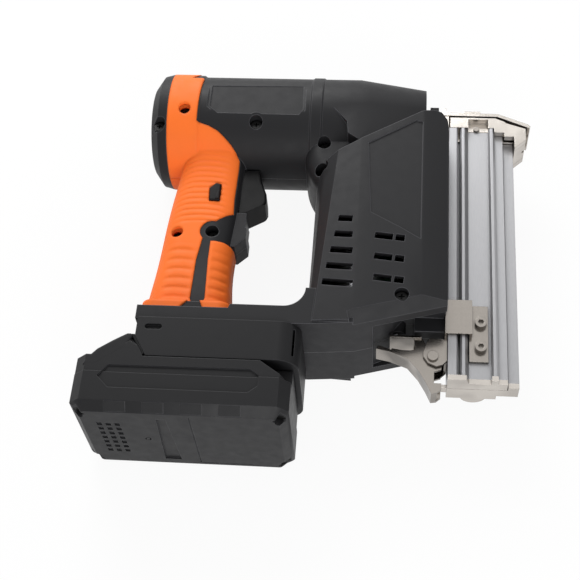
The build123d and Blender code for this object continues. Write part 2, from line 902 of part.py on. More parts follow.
with BuildPart() as gear_case:
    with BuildSketch(level(case_floor)):
        with Locations((lifter_x, lifter_y)):
            Circle(case_radius)
    extrude(amount=cover_bottom - case_floor)
    with BuildSketch(across_y(lifter_y - case_radius + 5)):
        with Locations((lifter_x, mid_z)):
            Circle(neck_radius)
    extrude(amount=lifter_y - case_radius + 5 - gearbox_top)
    with BuildSketch(level(case_floor + case_wall)):
        with Locations((lifter_x, lifter_y)):
            Circle(case_radius - case_side)
    extrude(amount=30, mode=Mode.SUBTRACT)
    with BuildSketch(across_y(lifter_y - case_radius + 10)):
        with Locations((lifter_x, mid_z)):
            Circle(pinion_bore)
    extrude(amount=lifter_y - case_radius + 10 - gearbox_top, mode=Mode.SUBTRACT)
    with BuildSketch(level(case_floor - 1)):
        with Locations((lifter_x, lifter_y)):
            Circle(bearing_radius + run_fit)
    extrude(amount=5, mode=Mode.SUBTRACT)
    with BuildSketch(level(cover_bottom)):
        with Locations((lifter_x, lifter_y)):
            Circle(case_radius + 5)
    extrude(amount=20, mode=Mode.SUBTRACT)
    blade_slot(-10, 60)
save(gear_case, "gear_case")

with BuildPart() as gear_cover:
    with BuildSketch(level(cover_bottom)):
        with Locations((lifter_x, lifter_y)):
            Circle(case_radius)
            Circle(bearing_radius + run_fit, mode=Mode.SUBTRACT)
        with Locations(housing_recesses[2][:2]):
            Circle(screw_shank_radius + run_fit, mode=Mode.SUBTRACT)
    extrude(amount=case_wall)
save(gear_cover, "gear_cover")

with BuildPart() as lifter_bearings:
    for floor in (case_floor, cover_bottom):
        with BuildSketch(level(floor)):
            with Locations((lifter_x, lifter_y)):
                Circle(bearing_radius)
                Circle(shaft_radius + run_fit, mode=Mode.SUBTRACT)
        extrude(amount=bearing_width)
save(lifter_bearings, "lifter_bearings")

with BuildPart() as lifter_shaft:
    with BuildSketch(level(case_floor)):
        with Locations((lifter_x, lifter_y)):
            Circle(shaft_radius)
    extrude(amount=case_top - case_floor)
    chamfer(lifter_shaft.edges().filter_by(GeomType.CIRCLE), length=0.5)
save(lifter_shaft, "lifter_shaft")

with BuildPart() as lifter_wheel:
    for floor in (-lifter_gap / 2 - lifter_disc, lifter_gap / 2):
        with BuildSketch(level(floor)):
            with Locations((lifter_x, lifter_y)):
                Circle(lifter_disc_radius)
        extrude(amount=lifter_disc)
    for pin in range(lifter_pins):
        angle = math.radians(-90 + 43 * (pin - (lifter_pins - 1) / 2))
        x = lifter_x + lifter_pin_circle * math.cos(angle)
        y = lifter_y + lifter_pin_circle * math.sin(angle)
        with BuildSketch(level(-lifter_gap / 2 - 1)):
            with Locations((x, y)):
                Circle(lifter_pin_radius)
        extrude(amount=lifter_gap + 2)
    with BuildSketch(level(-10)):
        with Locations((lifter_x, lifter_y)):
            Circle(shaft_radius + run_fit)
    extrude(amount=20, mode=Mode.SUBTRACT)
save(lifter_wheel, "lifter_wheel")

# Both bevel gears are drawn about the point where their axes meet.
tooth_pitch_width = math.pi * gear_module / 2 - backlash
tooth_tip_width = tooth_pitch_width - 1.2
tooth_root_width = tooth_pitch_width + 1.2
addendum = 1.7
dedendum = 2.3

with BuildPart() as bevel_gear:
    with BuildSketch(Plane.XZ):
        with BuildLine():
            Polyline(
                (shaft_radius + run_fit, -12.5),
                (gear_reach, -12.5),
                (gear_reach, -pinion_reach - dedendum),
                (gear_reach * small_end, (-pinion_reach - dedendum) * small_end),
                (shaft_radius + run_fit, (-pinion_reach - dedendum) * small_end),
                close=True,
            )
        make_face()
    revolve(axis=Axis.Z)
    with BuildPart(mode=Mode.PRIVATE) as gear_tooth:
        for size in (1, small_end):
            with BuildSketch(Plane.YZ.offset(gear_reach * size)):
                with BuildLine():
                    Polyline(
                        (-tooth_root_width / 2 * size, (-pinion_reach - dedendum - 0.4) * size),
                        (tooth_root_width / 2 * size, (-pinion_reach - dedendum - 0.4) * size),
                        (tooth_tip_width / 2 * size, (-pinion_reach + addendum) * size),
                        (-tooth_tip_width / 2 * size, (-pinion_reach + addendum) * size),
                        close=True,
                    )
                make_face()
        loft()
    with PolarLocations(0, gear_teeth, start_angle=-90 + 180 / gear_teeth):
        add(gear_tooth.part)
bevel_gear_placed = bevel_gear.part.moved(Location((lifter_x, lifter_y, mid_z)))
bevel_gear_placed.label = "bevel_gear"
export_step(bevel_gear_placed, "parts/bevel_gear.step")

with BuildPart() as bevel_pinion:
    with BuildSketch(Plane.XZ):
        with BuildLine():
            Polyline(
                (0, -gear_reach),
                (pinion_reach - dedendum, -gear_reach),
                ((pinion_reach - dedendum) * small_end, -gear_reach * small_end),
                (0, -gear_reach * small_end),
                close=True,
            )
        make_face()
    revolve(axis=Axis.Z)
    with BuildPart(mode=Mode.PRIVATE) as pinion_tooth:
        for size in (1, small_end):
            with BuildSketch(Plane.XY.offset(-gear_reach * size)):
                with BuildLine():
                    Polyline(
                        ((pinion_reach - dedendum - 0.6) * size, -tooth_root_width / 2 * size),
                        ((pinion_reach - dedendum - 0.6) * size, tooth_root_width / 2 * size),
                        ((pinion_reach + addendum) * size, tooth_tip_width / 2 * size),
                        ((pinion_reach + addendum) * size, -tooth_tip_width / 2 * size),
                        close=True,
                    )
                make_face()
        loft()
    with PolarLocations(0, pinion_teeth):
        add(pinion_tooth.part)
    with BuildSketch(Plane.XY.offset(-gear_reach)):
        Circle(pinion_shaft_radius)
    extrude(amount=-(lifter_y - gear_reach - gearbox_top - seat_gap))
# Lay the pinion's axis along Y: its own -Z points to -Y, its +X tooth to -Z.
pinion_frame = Plane(origin=(lifter_x, lifter_y, mid_z), x_dir=(0, 0, -1), z_dir=(0, 1, 0))
bevel_pinion_placed = bevel_pinion.part.moved(pinion_frame.location)
bevel_pinion_placed.label = "bevel_pinion"
export_step(bevel_pinion_placed, "parts/bevel_pinion.step")

# ================================================================ motor, fan and board
with BuildPart() as gearbox:
    with BuildSketch(across_y(gearbox_top)):
        with Locations((lifter_x, mid_z)):
            Circle(gearbox_radius)
    extrude(amount=gearbox_top - motor_top)
    chamfer(gearbox.edges().filter_by(GeomType.CIRCLE).group_by(Axis.Y)[-1], length=1.5)
save(gearbox, "gearbox")

with BuildPart() as motor_can:
    with BuildSketch(across_y(motor_top - 3)):
        with Locations((lifter_x, mid_z)):
            Circle(motor_radius)
    extrude(amount=motor_top - 3 - motor_bottom)
    with BuildSketch(across_y(motor_top - 3)):
        with Locations((lifter_x, mid_z)):
            Circle(motor_radius - motor_wall)
    extrude(amount=motor_top - 3 - motor_bottom - motor_wall, mode=Mode.SUBTRACT)
    with BuildSketch(across_y(motor_bottom + 5)):
        with Locations((lifter_x, mid_z)):
            Circle(rotor_shaft_radius + run_fit)
    extrude(amount=10, mode=Mode.SUBTRACT)
save(motor_can, "motor_can")

with BuildPart() as motor_end_cap:
    with BuildSketch(across_y(motor_top)):
        with Locations((lifter_x, mid_z)):
            Circle(motor_radius)
    extrude(amount=3)
    with BuildSketch(across_y(motor_top)):
        with Locations((lifter_x, mid_z)):
            Circle(rotor_shaft_radius + run_fit)
    extrude(amount=3, mode=Mode.SUBTRACT)
save(motor_end_cap, "motor_end_cap")

fan_top = motor_bottom - fan_gap
with BuildPart() as rotor:
    with BuildSketch(across_y(motor_top - 3 - 3)):
        with Locations((lifter_x, mid_z)):
            Circle(rotor_radius)
    extrude(amount=motor_top - 6 - motor_bottom - motor_wall - 3)
    with BuildSketch(across_y(motor_top)):
        with Locations((lifter_x, mid_z)):
            Circle(rotor_shaft_radius)
    extrude(amount=motor_top - fan_top + fan_depth)
save(rotor, "rotor")

with BuildPart() as cooling_fan:
    with BuildSketch(across_y(fan_top)):
        with Locations((lifter_x, mid_z)):
            Circle(fan_radius)
    extrude(amount=1.2)
    with BuildSketch(across_y(fan_top)):
        with Locations((lifter_x, mid_z)):
            Circle(4)
            with PolarLocations(9.5, fan_blades):
                Rectangle(11, 1.2, rotation=20)
    extrude(amount=fan_depth)
    with BuildSketch(across_y(fan_top + 1)):
        with Locations((lifter_x, mid_z)):
            Circle(rotor_shaft_radius + run_fit)
    extrude(amount=fan_depth + 2, mode=Mode.SUBTRACT)
save(cooling_fan, "cooling_fan")

with BuildPart() as circuit_board:
    with BuildSketch(across_x(board_x)):
        with Locations(((board_bottom + board_top) / 2, mid_z)):
            Rectangle(board_top - board_bottom, 2 * board_half)
    extrude(amount=board_thickness)
    with BuildSketch(across_x(board_x)):
        with Locations((20, mid_z + 12), (20, mid_z - 12)):
            Circle(5)
        with Locations((-15, mid_z)):
            Rectangle(14, 14)
        for row in range(6):
            with Locations((-32, mid_z - 20 + 8 * row)):
                Rectangle(7, 5)
    extrude(amount=-4)
save(circuit_board, "circuit_board")

# ================================================================ trigger, switch and lock
trigger_outline = (
    (-56.4, 52.4), (-56.4, 46.8), (-50, 46.2), (-50, 20.5), (-46.7, 20.8), (-34.8, 28), (-34, 30),
    (-34.5, 36), (-38, 45), (-39.5, 52.6),
)
trigger_spring_y = 32.0
coil_wire = 0.5

with BuildPart() as trigger:
    with BuildSketch(level(-trigger_half)):
        polygon(trigger_outline)
    extrude(amount=2 * trigger_half)
    fillet(trigger.edges().filter_by(lambda e: e.center().X > -40 and abs(e.tangent_at(0.5).Z) < 0.1), 1.5)
    disc(level(-20), (trigger_pivot_x, trigger_pivot_y), trigger_pin_radius + run_fit, 40, mode=Mode.SUBTRACT)
save(trigger, "trigger")

with BuildPart() as trigger_pin:
    disc(level(-pin_reach), (trigger_pivot_x, trigger_pivot_y), trigger_pin_radius, 2 * pin_reach)
save(trigger_pin, "trigger_pin")


def coil(start, length, radius, turns, direction):
    """Coil spring from start along a direction."""
    path = Helix(length / turns, length, radius, center=start, direction=direction)
    with BuildSketch(Plane(path @ 0, z_dir=path % 0)) as wire:
        Circle(coil_wire)
    sweep(wire.sketch, path=path)


with BuildPart() as trigger_spring:
    coil((-50.8, trigger_spring_y, mid_z), 4.4, 2.2, 3, (-1, 0, 0))
save(trigger_spring, "trigger_spring")

with BuildPart() as trigger_switch:
    box((switch_front - switch_depth, switch_front), (switch_bottom, switch_top), (-switch_half, switch_half))
    disc(across_x(switch_front), (44, mid_z), 1.6, 7.6)
save(trigger_switch, "trigger_switch")

with BuildPart() as lock_switch:
    with BuildSketch(level(-17 + lock_travel - lock_stand)):
        polygon(lock_outline)
    extrude(amount=34 - lock_travel + 2 * lock_stand)
    chamfer(lock_switch.faces().sort_by(Axis.Z)[-1].edges(), length=0.6)
    chamfer(lock_switch.faces().sort_by(Axis.Z)[0].edges(), length=0.6)
save(lock_switch, "lock_switch")

# ================================================================ nose and contact trip
neck_half = 12.0
neck_front = 75.0
muzzle_left = 115.0
muzzle_top_back = 91.3
muzzle_top_end = 88.4
channel_bottom = 82.0
channel_top = 87.8
cover_left = 76.0
cover_right = 109.8
trip_edge = ((73.7, 100.2), (105.3, 99.7), (123.6, 91.9), (trip_end, 90.4))
nose_screw_x = 92.1
nose_screw_y = 90.2
nose_screw_radius = 1.0
nose_screw_head = 1.9
cheek_inside = 7.15          # the cover's cheeks stand outside the fixed muzzle
muzzle_half = 7.0
groove_left = 87.0
groove_right = 99.2
groove_half = 6.5            # half thickness of the magazine and the nose in the groove
core_top = 93.0
cheek_outline = (
    (102.9, 95.0), (102.9, 85.2), (109, 85.2), (109, 82.2), (115, 82.2), (115, 73.4), (122, 80), (122, 88.4),
    (110, 92.6), (103.6, 96.3),
)

with BuildPart() as nose_block:
    box((nose_back, neck_front), (79, nose_top), (-neck_half, neck_half))
    box((neck_front - 1, muzzle_left + 1), (channel_bottom, core_top), (-core_half, core_half))
    with BuildSketch(level(-muzzle_half)):
        polygon((
            (110.2, muzzle_top_back), (muzzle_end, muzzle_top_end), (muzzle_end, 80.0), (muzzle_left, 73.4),
            (muzzle_left, 88.6), (110.2, 88.6),
        ))
    extrude(amount=2 * muzzle_half)
    box((110.0, 130), (muzzle_top_back, 100), (-20, 20), Mode.SUBTRACT)
    with BuildSketch(level(-20)):
        polygon(((109.9, muzzle_top_back), (109.9, 100), (130, 100), (130, 86.4)))
    extrude(amount=40, mode=Mode.SUBTRACT)
    box(
        (nose_back - 1, muzzle_end + 1), (slot_bottom, channel_top), (-channel_half, channel_half),
        Mode.SUBTRACT,
    )
    disc(level(-20), (nose_screw_x, nose_screw_y), nose_screw_radius + run_fit, 40, mode=Mode.SUBTRACT)
save(nose_block, "nose_block")

with BuildPart() as nose_cover:
    with BuildSketch(level(-mag_half)):
        polygon((
            (cover_left, mag_top + seat_gap), (cover_right, mag_top + seat_gap), (cover_right, 93.4),
            (103.5, nose_top), (cover_left, nose_top),
        ))
    extrude(amount=2 * mag_half)
    for side in (-1, 1):
        groove_z = sorted((side * groove_half, side * 20))
        box((groove_left, groove_right), (80, nose_top - 1.2), groove_z, Mode.SUBTRACT)
        with BuildSketch(level(side * cheek_inside)):
            polygon(cheek_outline)
        extrude(amount=side * (mag_half - cheek_inside))
    half = core_half + seat_gap
    box((0, 200), (80, core_top + seat_gap), (-half, half), Mode.SUBTRACT)
    disc(level(0), (nose_screw_x, nose_screw_y), nose_screw_radius + run_fit, 20, mode=Mode.SUBTRACT)
save(nose_cover, "nose_cover")

with BuildPart() as nose_screw:
    disc(level(groove_half), (nose_screw_x, nose_screw_y), nose_screw_head, 1.4)
    disc(level(-4), (nose_screw_x, nose_screw_y), nose_screw_radius, groove_half + 4)
save(nose_screw, "nose_screw")

stem_back = 44.0
collar_length = 2.0
with BuildPart() as contact_trip:
    with BuildSketch(level(-mag_half)):
        polygon(trip_edge + (
            (trip_end - 0.6, 88.9), (123.0, 89.6), (105.0, trip_bottom + 0.9), (tab_left, trip_bottom + 1.2),
            (tab_left, 100.2),
        ))
    extrude(amount=2 * mag_half)
    with BuildSketch(level(-9)):
        polygon(((83, 98.5), (84.5, 103), (94.5, 103), (96, 98.5)))
    extrude(amount=18)
    box((tab_left, tab_left + 2.2), (99, 107.6), (-6, 6))
    disc(across_x(stem_back), (wheel_y, mid_z), stem_radius, tab_left + 1 - stem_back)
    disc(across_x(stem_back), (wheel_y, mid_z), 4.2, collar_length)
save(contact_trip, "contact_trip")

with BuildPart() as trip_spring:
    spring_start = stem_rib_x + rib_width / 2 + 0.8
    spring_length = stem_back - stem_rib_x - rib_width / 2 - 1.6
    coil((spring_start, wheel_y, mid_z), spring_length, 3.2, 5, (1, 0, 0))
save(trip_spring, "trip_spring")

with BuildPart() as depth_wheel:
    with BuildSketch(across_x(wheel_x)):
        with Locations((wheel_y, mid_z)):
            Circle(wheel_radius)
            Circle(stem_radius + run_fit, mode=Mode.SUBTRACT)
            with PolarLocations(wheel_radius + 0.3, 16):
                Rectangle(1.4, 1.0, mode=Mode.SUBTRACT)
    extrude(amount=wheel_width)
save(depth_wheel, "depth_wheel")

# ================================================================ magazine
rail_section = (
    (mag_left, part_gap), (mag_left, mag_half), (79.8, mag_half), (80.6, 10.2), (80.6, 4), (82, 4), (82, 10),
    (83, mag_half), (84.6, mag_half), (85.9, 9.6), (87, 6.5), (99.2, 6.5), (99.2, 10), (100.2, mag_half),
    (101.8, mag_half), (102.8, 10), (102.8, 7), (108.1, 7),
    (108.1, 1.5), (110, 1.5), (110, part_gap),
)
slide_section = (
    (mag_left, -part_gap), (mag_left, -mag_half), (79.8, -mag_half), (80.6, -10.2), (80.6, -4), (82, -4),
    (82, -10), (83, -mag_half), (84.6, -mag_half), (85.9, -9.6), (87, -6.5), (99.2, -6.5), (99.2, -10),
    (100.2, -mag_half), (101.8, -mag_half), (102.8, -10), (102.8, -7),
    (mag_right, -7), (mag_right, 3.2), (108.6, 3.2), (108.6, 1.8), (110.3, 1.8), (110.3, -part_gap),
)
profile_bottom = mag_bottom + cap_thickness
channel_right = 107.2
tunnel = (88.5, 97.5)
tunnel_depth = 4.5
bracket_screw_spots = ((93.5, -50.2), (93.4, -65.6))


def profile(section, bottom, top):
    """Extruded magazine profile between two heights along Y."""
    with BuildSketch(across_y(top)) as outline:
        polygon([(x, mid_z + z) for x, z in section])
    extrude(outline.sketch, amount=top - bottom)


with BuildPart() as magazine_rail:
    profile(rail_section, profile_bottom, mag_top)
    box((brad_left - 0.2, channel_right), (profile_bottom - 1, 90), (-2, channel_half), Mode.SUBTRACT)
    box((70, 120), (channel_bottom - 0.3, 95), (-2, core_half + 0.2), Mode.SUBTRACT)
    for x, y in bracket_screw_spots:
        disc(level(2.6), (x, y), screw_shank_radius + run_fit, 6, mode=Mode.SUBTRACT)
save(magazine_rail, "magazine_rail")

with BuildPart() as magazine_slide:
    profile(slide_section, profile_bottom, mag_top)
    box((brad_left - 0.2, channel_right), (profile_bottom - 1, 90), (-channel_half, 1), Mode.SUBTRACT)
    box((70, 120), (channel_bottom - 0.3, 95), (-core_half - 0.2, core_half), Mode.SUBTRACT)
    box(tunnel, (profile_bottom - 1, 90), (-tunnel_depth, 0), Mode.SUBTRACT)
save(magazine_slide, "magazine_slide")

with BuildPart() as rail_end_cap:
    profile(
        (
            (mag_left, part_gap), (mag_left, mag_half), (85.5, mag_half), (87, 6.5), (99.2, 6.5),
            (99.2, mag_half), (102.8, mag_half), (102.8, 7), (108.1, 7), (108.1, part_gap),
        ),
        mag_bottom, profile_bottom,
    )
save(rail_end_cap, "rail_end_cap")

tongue_end = 70.5
with BuildPart() as slide_end_cap:
    profile(
        (
            (mag_left, -part_gap), (mag_left, -mag_half), (102.8, -mag_half), (102.8, -7), (mag_right, -7),
            (mag_right, 3.2), (108.6, 3.2), (108.6, -part_gap),
        ),
        mag_bottom, profile_bottom,
    )
    box((tongue_end, mag_left + 1), (-86.6, -84.6), (-5.5, -0.3))
    with BuildSketch(across_y(profile_bottom)):
        with Locations((90, mid_z - 9)):
            Circle(7)
    extrude(amount=cap_thickness)
save(slide_end_cap, "slide_end_cap")

with BuildPart() as brad_strip:
    box((brad_left, brad_left + brad_length), (brad_bottom, 81.4), (-brad_half, brad_half))
save(brad_strip, "brad_strip")

pusher_top = brad_bottom - seat_gap
with BuildPart() as brad_pusher:
    box((brad_left + 0.5, brad_left + brad_length - 0.5), (pusher_top - 7, pusher_top), (-0.7, 0.7))
    box((tunnel[0] + 0.3, tunnel[1] - 0.3), (pusher_top - 12, pusher_top - 1), (-tunnel_depth + 0.3, -0.5))
save(brad_pusher, "brad_pusher")

with BuildPart() as pusher_spring:
    roll_y = pusher_top - 14.4
    with BuildSketch(Plane.YZ.offset(tunnel[0] + 0.8)):
        with Locations((roll_y, mid_z - 2.3)):
            Circle(2.0)
            Circle(0.8, mode=Mode.SUBTRACT)
    extrude(amount=tunnel[1] - tunnel[0] - 1.6)
    box((tunnel[0] + 0.8, tunnel[1] - 0.8), (roll_y - 0.5, pusher_top - 12.05), (-0.9, -0.6))
save(pusher_spring, "pusher_spring")

# ================================================================ latch
sleeve_in = mag_half + 0.15
sleeve_out = sleeve_in + bracket_sheet
ear_in = lever_half + 0.5
ear_out = ear_in + ear_sheet
tab_half = 7.5

with BuildPart() as latch_bracket:
    for side in (-1, 1):
        with BuildSketch(level(side * sleeve_in)):
            polygon(((73.5, -59), (88.6, -59), (88.6, -37.3), (73.5, -37.3)))
        extrude(amount=side * bracket_sheet)
        with BuildSketch(level(side * ear_in)):
            polygon((
                (63.8, -62), (65.4, -60), (75, -60.7), (75, -74), (72.5, -76.6), (69.0, -77.6), (64.5, -75.6),
                (61.9, -71.7), (61.8, -69),
            ))
        extrude(amount=side * ear_sheet)
    box((73.5, 75), (-59, -37.3), (-sleeve_out, sleeve_out))
    box((73.5, 75), (-74, -58), (-ear_out, ear_out))
    box((87.1, 88.6), (-59, -38.4), (6.65, sleeve_out))
    box((87.1, 97.6), (-74.1, -38.4), (6.65, 8.15))
    disc(level(-20), (pin_x, pin_y), latch_pin_radius + run_fit, 40, mode=Mode.SUBTRACT)
    for x, y in bracket_screw_spots:
        disc(level(5), (x, y), screw_shank_radius + run_fit, 6, mode=Mode.SUBTRACT)
save(latch_bracket, "latch_bracket")

with BuildPart() as bracket_screws:
    for x, y in bracket_screw_spots:
        disc(level(8.15), (x, y), screw_head_radius, 3.0)
        disc(level(3.0), (x, y), screw_shank_radius, 6)
        with BuildSketch(level(11.15)) as socket:
            with Locations((x, y)):
                RegularPolygon(1.7, 6)
        extrude(socket.sketch, amount=-1.8, mode=Mode.SUBTRACT)
save(bracket_screws, "bracket_screws")

lever_outline = (
    (36.4, -65.0), (35.6, -67), (43, -68.5), (53.3, -72.5), (59.5, -80), (63.5, -87), (66.5, -93.5),
    (69.5, -93.0), (71.9, -90.9), (72, -87.1), (68.0, -87.1), (68.0, -80), (72, -78.6), (72.0, -68.0),
    (66.6, -66.2), (63, -66.2), (61.2, -72.2), (53.4, -67.7), (44.5, -65.7), (38.3, -65.0),
)
lever_web = (
    (36.4, -65.0), (35.6, -67), (43, -68.5), (53.3, -72.5), (59.5, -80), (63.5, -87), (66.5, -93.5),
    (69.5, -93.0), (68.0, -91.4), (67.2, -91.6), (64.9, -86.4), (60.8, -79.3), (54.2, -71.3), (43.4, -67.0),
    (38.3, -65.0),
)
with BuildPart() as latch_lever:
    for side in (-1, 1):
        with BuildSketch(level(side * (lever_half - lever_sheet))):
            polygon((
                (43, -68.5), (53.3, -72.5), (59.5, -80), (63.5, -87), (66.5, -93.5), (69.5, -93.0),
                (71.9, -90.9), (72, -87.1), (68.0, -87.1), (68.0, -80), (72, -78.6), (72.6, -72),
                (70.5, -67.8), (66.6, -66.0), (63, -62.6), (60.7, -58.6), (56.5, -58.6), (57.5, -66.5),
                (53.4, -67.7), (44.5, -66.3),
            ))
        extrude(amount=side * lever_sheet)
    with BuildSketch(level(-lever_half)):
        polygon(lever_web)
    extrude(amount=2 * lever_half)
    box((43.1, 60.7), (-59.9, -58.6), (-tab_half, tab_half))
    disc(level(-20), (pin_x, pin_y), latch_pin_radius + run_fit, 40, mode=Mode.SUBTRACT)
save(latch_lever, "latch_lever")

with BuildPart() as latch_pin:
    disc(level(-ear_out - 0.1), (pin_x, pin_y), latch_pin_radius, 2 * ear_out + 0.2)
    disc(level(ear_out + 0.05), (pin_x, pin_y), 3.0, 1.5)
    disc(level(-ear_out - 0.05), (pin_x, pin_y), 3.0, -1.5)
save(latch_pin, "latch_pin")

with BuildPart() as latch_spring:
    coil((boss_x, -57.9, mid_z), 2.4, 2.7, 2, (0, 1, 0))
save(latch_spring, "latch_spring")

# ================================================================ battery mount
mount_slope = ((-100, -79.1), (-95.1, -79.1), (-87.3, -92), (-100, -92))
mount_roof = -71.0
lip_bottom = mount_bottom
lip_top = -87.4
head_bottom = -87.0
head_top = -76.0

with BuildPart() as battery_mount:
    with BuildSketch(across_y(bridge_bottom)):
        with Locations(((mount_left + mount_right) / 2, mid_z)):
            Rectangle(mount_right - mount_left, 2 * mount_half)
    extrude(amount=bridge_bottom - mount_bottom)
    fillet(battery_mount.edges().filter_by(Axis.Y).group_by(Axis.X)[-1], mount_corner)
    inside = (mount_left - 1, mount_right - mount_wall)
    room_half = mount_half - mount_wall
    neck_half = rail_neck_half + 0.4
    box(inside, (head_bottom - 0.4, mount_roof), (-room_half, room_half), Mode.SUBTRACT)
    box(inside, (mount_bottom - 1, mount_roof), (-neck_half, neck_half), Mode.SUBTRACT)
    with BuildSketch(level(-mount_half)):
        polygon(mount_slope)
    extrude(amount=2 * mount_half, mode=Mode.SUBTRACT)
save(battery_mount, "battery_mount")

terminal_count = 5
terminal_pitch = 5.5
with BuildPart() as terminal_block:
    box((-13.4, mount_right - mount_wall - 0.3), (-84, mount_roof - 0.3), (-15, 15))
    for blade in range(terminal_count):
        z = terminal_pitch * (blade - 2)
        box((-24, -12), (-83, -78), (z - 0.4, z + 0.4))
save(terminal_block, "terminal_block")

# ================================================================ battery
battery_half = mid_z
hump_outline = ((-120, -99), (-96.9, hump_top), (-95.2, -81.3), (-88.9, -91.9), (-88.4, -94.5), (-88.4, -99))
button_half = 12.0
button_outline = ((-112.3, -91.3), (-102.5, -83.4), (-100.0, -86.5), (-109.8, -94.4))
button_pocket = ((-112.3, -91.3), (-102.5, -83.4), (-98.9, -87.9), (-108.7, -95.8))
base_bevel = 5.0
end_bevel = 6.0
floor_bevel = 2.2
battery_screw_x = (-120.5, -12.5)
battery_screw_z = 26.5
battery_screw_seat = battery_bottom + 5.5
corner_reach = 10.5          # length of the three-cornered pockets round the battery's screws
corner_depth = 3.5
screw_bite = 2.2             # thread of the battery's screws in the cover
side_recess = (
    (-106.2, -98.9), (-30, -98.5), (-25, -102.1), (-24.9, -108.2), (-30, -112.5), (-104.5, -112.5),
    (-111.2, -105.8),
)
side_recess_depth = 1.0
shoulder = ((-25, -92), (-25, -93.1), (-12, -102.1), (-4, -108), (-4, -92))
shoulder_half = 24.5
air_slots = (3, 7)
wedge_groove = ((-78.5, 25), (-73.6, 25), (-71.4, -26), (-80.7, -26))
groove_depth = 1.0


def corner_pocket(x, z, grow):
    """Three-cornered outline round a screw at a corner of the battery's base, in X and Z."""
    outward = -1 if x < -60 else 1
    up = 1 if z > 0 else -1
    polygon((
        (x + outward * 7, mid_z + z - up * (6.5 + grow)),
        (x + outward * 7, mid_z + z + up * 12),
        (x - outward * (corner_reach - 6 + grow), mid_z + z + up * 2),
    ))


def battery_shell(half, inset, top, bottom):
    """Block of the battery between two heights along Y, with its upright corners bevelled."""
    with BuildSketch(across_y(top)) as outline:
        with Locations(((battery_left + battery_right) / 2, mid_z)):
            Rectangle(battery_right - battery_left - 2 * inset, 2 * (half - inset))
        chamfer(outline.vertices(), length=end_bevel - inset)
    extrude(outline.sketch, amount=top - bottom)


with BuildPart() as battery_block:
    battery_shell(battery_half, 0, battery_split, battery_bottom)
    chamfer(battery_block.faces().sort_by(Axis.Y)[0].edges(), length=base_bevel)

with BuildPart() as battery_hollow:
    battery_shell(battery_half, battery_wall, battery_split + 1, battery_bottom + battery_wall)
    chamfer(battery_hollow.faces().sort_by(Axis.Y)[0].edges(), length=floor_bevel)

with BuildPart() as battery_corners:
    for x in battery_screw_x:
        for z in (-battery_screw_z, battery_screw_z):
            disc(across_y(battery_split), (x, mid_z + z), 3.6, battery_split - battery_bottom)
            with BuildSketch(across_y(battery_bottom + corner_depth + 2)) as block:
                corner_pocket(x, z, 1.5)
            extrude(block.sketch, amount=corner_depth + 2)
    add(battery_block.part, mode=Mode.INTERSECT)

with BuildPart() as battery_case:
    add(battery_block.part)
    add(battery_hollow.part, mode=Mode.SUBTRACT)
    add(battery_corners.part)
    for x in battery_screw_x:
        for z in (-battery_screw_z, battery_screw_z):
            spot = (x, mid_z + z)
            with BuildSketch(across_y(battery_bottom + corner_depth)) as pocket:
                corner_pocket(x, z, 0)
            extrude(pocket.sketch, amount=corner_depth + 2, mode=Mode.SUBTRACT)
            disc(across_y(battery_split), spot, screw_shank_radius + run_fit, 40, mode=Mode.SUBTRACT)
            disc(across_y(battery_screw_seat), spot, 2.8, 10, mode=Mode.SUBTRACT)
    for side in (-1, 1):
        with BuildSketch(level(side * battery_half)):
            polygon(side_recess)
        extrude(amount=-side * side_recess_depth, mode=Mode.SUBTRACT)
    # Air slots, wedge groove, mark and step in the base
    with BuildSketch(across_y(battery_bottom)):
        with Locations((-105.7, mid_z)):
            with GridLocations(4.9, 5.6, *air_slots):
                Rectangle(2.9, 3.4)
        polygon([(x, mid_z + z) for x, z in wedge_groove])
        with Locations((-86.5, mid_z)):
            Circle(1.7)
            Circle(1.0, mode=Mode.SUBTRACT)
    extrude(amount=-groove_depth, mode=Mode.SUBTRACT)
    with BuildSketch(across_y(battery_bottom)):
        with Locations((-60.7, mid_z)):
            Rectangle(0.7, 58)
        with Locations((-45.5, mid_z - 29)):
            Rectangle(29, 0.7)
    extrude(amount=-0.5, mode=Mode.SUBTRACT)
save(battery_case, "battery_case")

